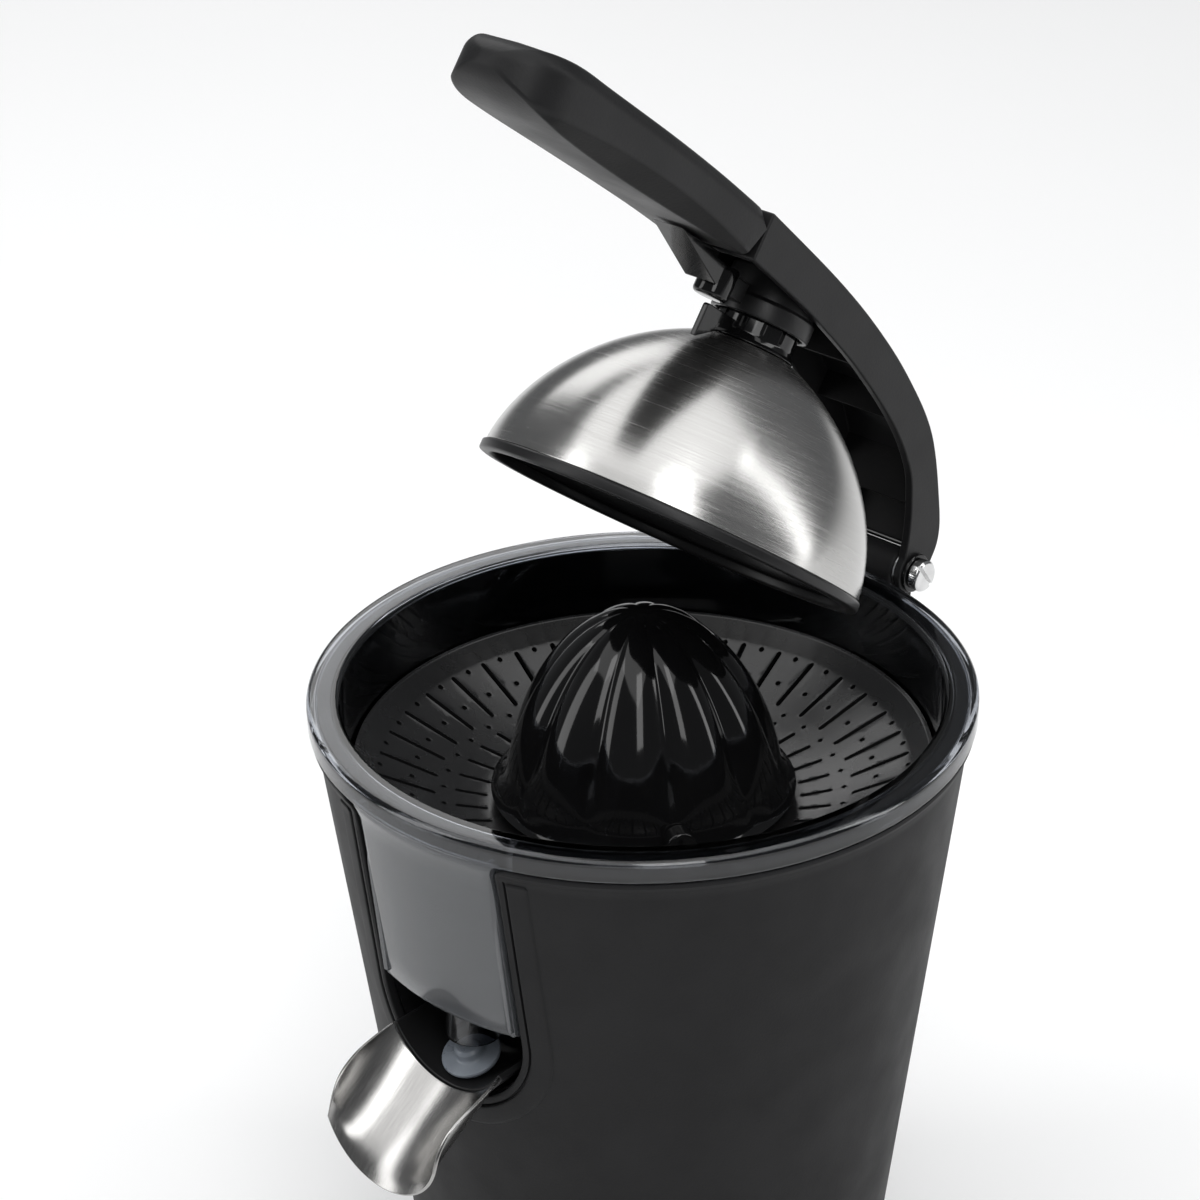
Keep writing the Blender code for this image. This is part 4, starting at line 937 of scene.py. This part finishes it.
outer = dome_line(0.0, 12.6, 1.5)
inner_line = dome_line(0.8, 12.6, 1.5)
r0, z0 = outer[0]
edge_pts = [(r0 + 0.02, z0 - 0.15), (r0 - 0.15, z0 - 0.32), (r0 - 0.45, z0 - 0.36), (r0 - 0.72, z0 - 0.22)]
turned("dome_steel_shell", list(reversed(outer)) + edge_pts + inner_line, steel_dome, "dome", ["dome_shell"], segs=256, place=DOME, angle=60)
l_out = dome_line(1.2, 12.8, 2.4)
l_in = dome_line(2.9, 12.1, 2.4)
band = fillet([(l_out[0][0] - 0.1, Z0 + 1.1), (DR + 0.8, Z0 + 1.1), (DR + 0.8, Z0 - 1.7), (DR - 0.2, Z0 - 2.0), (DR - 2.6, Z0 - 2.0), (DR - 3.0, Z0 + 1.0)],
              [0.2, 0.7, 0.9, 0.2, 0.9, 1.0], 5)
turned("dome_inner_liner", [(2.6, l_out[-1][1])] + list(reversed(l_out)) + band + l_in + [(2.6, l_in[-1][1])], satin, "dome", ["dome_liner"], segs=224, place=DOME, angle=60)

neck_z = outer[-1][1] + 0.5
neck = turned("dome_neck_post", fillet([(11.5, -0.8), (11.5, neck_z + 2.2), (12.0, neck_z + 0.9), (12.9, neck_z - 0.1), (12.4, neck_z - 0.25), (2.2, neck_z - 0.25), (2.2, -10.0), (6.0, -10.0), (6.0, -0.8)],
                                       [0.8, 1.5, 1.0, 0.3, 0, 0, 0.3, 0.5, 0.3], 4), gloss, segs=128, place=DOME)
slits = []
for k in range(12):
    slits.append(prism("s%d" % k, fillet([(-0.6, neck_z + 3.0), (0.6, neck_z + 3.0), (0.6, -2.6), (-0.6, -2.6)], 0.5, 4), 10.8, 13, 'XZ',
                       place=DOME @ Matrix.Rotation(math.radians(15 + 30 * k), 4, 'Z')))
cut(neck, slits)
soften(neck, 35)
finish(neck, "dome", ["dome_neck"])
rib = prism("neck_rib_blade", fillet([(-25.0, -13.8), (-10.5, -13.8), (-10.5, neck_z + 0.4), (-13.4, neck_z + 0.1), (-18.0, neck_z - 1.6), (-25.0, neck_z - 5.4)], [0.8, 0, 0, 0, 0, 0.4], 3), -0.9, 0.9, 'YZ', gloss, DOME)
rounded_edges(rib, 0.35, 3, 50)
finish(rib, "dome", ["dome_neck"])

# ================================================================= hinge
pin = along_x("hinge_bolt", fillet([(0, -20.4), (2.5, -20.4), (2.5, 17.5), (4.6, 17.5), (4.6, 20.0), (4.0, 20.6), (0, 20.6)], [0, 0.5, 0, 0.3, 0.5, 0.4, 0], 4, closed=False), 97.0, 205.0, chrome, 72)
cut(pin, brick("c11", (19.6, -0.6, -8), (22, 0.6, 8), place=AXIS @ Matrix.Translation(Vector((0, 97, 205)) * MM) @ Matrix.Rotation(math.radians(35), 4, 'X')))
soften(pin, 35)
finish(pin, "base", ["hinge_pin"])

for tag, sx in (("right", 1), ("left", -1)):
    a, b = sorted((sx * 16.3, sx * 17.2))
    washer = along_x("hinge_washer_disc_" + tag, fillet([(0, a), (5.6, a), (5.6, b), (0, b)], [0, 0.3, 0.3, 0], 4, closed=False), 97.0, 205.0, gloss, 72)
    cut(washer, along_x("c13", [(0, -30), (2.8, -30), (2.8, 30), (0, 30)], 97.0, 205.0, segs=48))
    finish(soften(washer, 35), "base", ["hinge_washer_" + tag])

# ------------------------------------------------------------------ CAD nodes that stay, with worked materials
KEEP = {
    "base_plate": satin, "drive_deck": satin, "spout_bay": satin, "cord_inlet": rubber,
    "spout_pin": chrome, "dome_screw": zinc, "hinge_nut": chrome,
    "friction_washer_right": zinc, "friction_washer_left": zinc,
    "motor_can": zinc, "motor_shaft": chrome, "motor_pinion": bronze, "compound_gear": nylon, "compound_axle": chrome,
    "output_gear": nylon, "output_shaft": chrome, "snap_ring": zinc, "lower_bush": bronze, "upper_bush": bronze,
    "shaft_seal": rubber, "gearbox_base": inner, "gearbox_cover": inner, "press_carriage": nylon, "return_spring": zinc,
    "microswitch": gloss, "switch_plunger": nylon,
}
for i in range(1, 5):
    KEEP["foot_%d" % i] = rubber
    KEEP["base_screw_%d" % i] = zinc
    KEEP["support_post_%d" % i] = inner
    KEEP["cover_screw_%d" % i] = zinc
for name, mat in KEEP.items():
    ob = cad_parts[name]
    for s in ob.material_slots:
        s.material = mat.m

# ------------------------------------------------------------------ floor, light, camera
world = bpy.data.worlds.new("studio")
bpy.context.scene.world = world
world.use_nodes = True
bg = next(n for n in world.node_tree.nodes if n.type == 'BACKGROUND')
bg.inputs[0].default_value = (0.95, 0.97, 1.0, 1)
bg.inputs[1].default_value = 0.16

ground = Mat("pale_floor")
ground.set(Base_Color=ground.ramp(ground.noise(1.2, 2), (0.3, (0.97, 0.97, 0.97)), (0.7, (1.0, 1.0, 1.0))), Roughness=0.7)
me = bpy.data.meshes.new("studio_floor")
me.from_pydata([(-6, -6, 0), (6, -6, 0), (6, 6, 0), (-6, 6, 0)], [], [(0, 1, 2, 3)])
me.materials.append(ground.m)
floor = bpy.data.objects.new("studio_floor", me)
bpy.context.scene.collection.objects.link(floor)


def softbox(name, azimuth, elevation, distance, sx, sy, power, target=(0, 0, 0.25), tint=(1, 1, 1)):
    l = bpy.data.lights.new(name, 'AREA')
    l.shape = 'RECTANGLE'
    l.size, l.size_y = sx, sy
    l.energy = power
    l.color = tint
    ob = bpy.data.objects.new(name, l)
    a, e = math.radians(azimuth), math.radians(elevation)
    t = Vector(target)
    p = t + Vector((math.sin(a) * math.cos(e), -math.cos(a) * math.cos(e), math.sin(e))) * distance
    ob.location = p
    ob.rotation_euler = (t - p).to_track_quat('-Z', 'Y').to_euler()
    bpy.context.scene.collection.objects.link(ob)
    return ob


# Azimuth is measured from the front (-Y) towards +X; the camera stands at 42.8.
softbox("overhead", 0, 89, 2.2, 3.4, 3.4, 58)
softbox("key_camera", 52, 42, 1.6, 0.5, 1.2, 7)
softbox("left_side", -40, 25, 1.5, 0.5, 1.3, 6)
softbox("strip_right", 125, 22, 1.4, 0.25, 1.5, 5)
softbox("back_left", 238, 30, 1.8, 1.0, 0.7, 4.0)

FOV_LENS = 3732.0 / 1200.0 * 36.0
e, rho, phi = math.radians(28.33), math.radians(-1.15), math.radians(42.8)
fwd = Vector((0, math.cos(e), -math.sin(e)))
right = Vector((1, 0, 0))
up = right.cross(fwd)
r = math.cos(rho) * right + math.sin(rho) * up
u = -math.sin(rho) * right + math.cos(rho) * up
spin = Matrix.Rotation(phi, 3, 'Z')
pos = spin @ (-fwd * 1.0 + r * (-0.0113) + u * 0.0223) + Vector((AX, AY, RIM))
X, Y, Zc = spin @ r, spin @ u, -(spin @ fwd)
cam_data = bpy.data.cameras.new("camera")
cam_data.sensor_width = 36.0
cam_data.lens = FOV_LENS
cam_data.clip_start = 0.02
cam_data.clip_end = 50
cam = bpy.data.objects.new("camera", cam_data)
cam.matrix_world = Matrix(((X.x, Y.x, Zc.x, pos.x), (X.y, Y.y, Zc.y, pos.y), (X.z, Y.z, Zc.z, pos.z), (0, 0, 0, 1)))
bpy.context.scene.collection.objects.link(cam)
bpy.context.scene.camera = cam

bpy.context.scene.view_settings.view_transform = 'Standard'
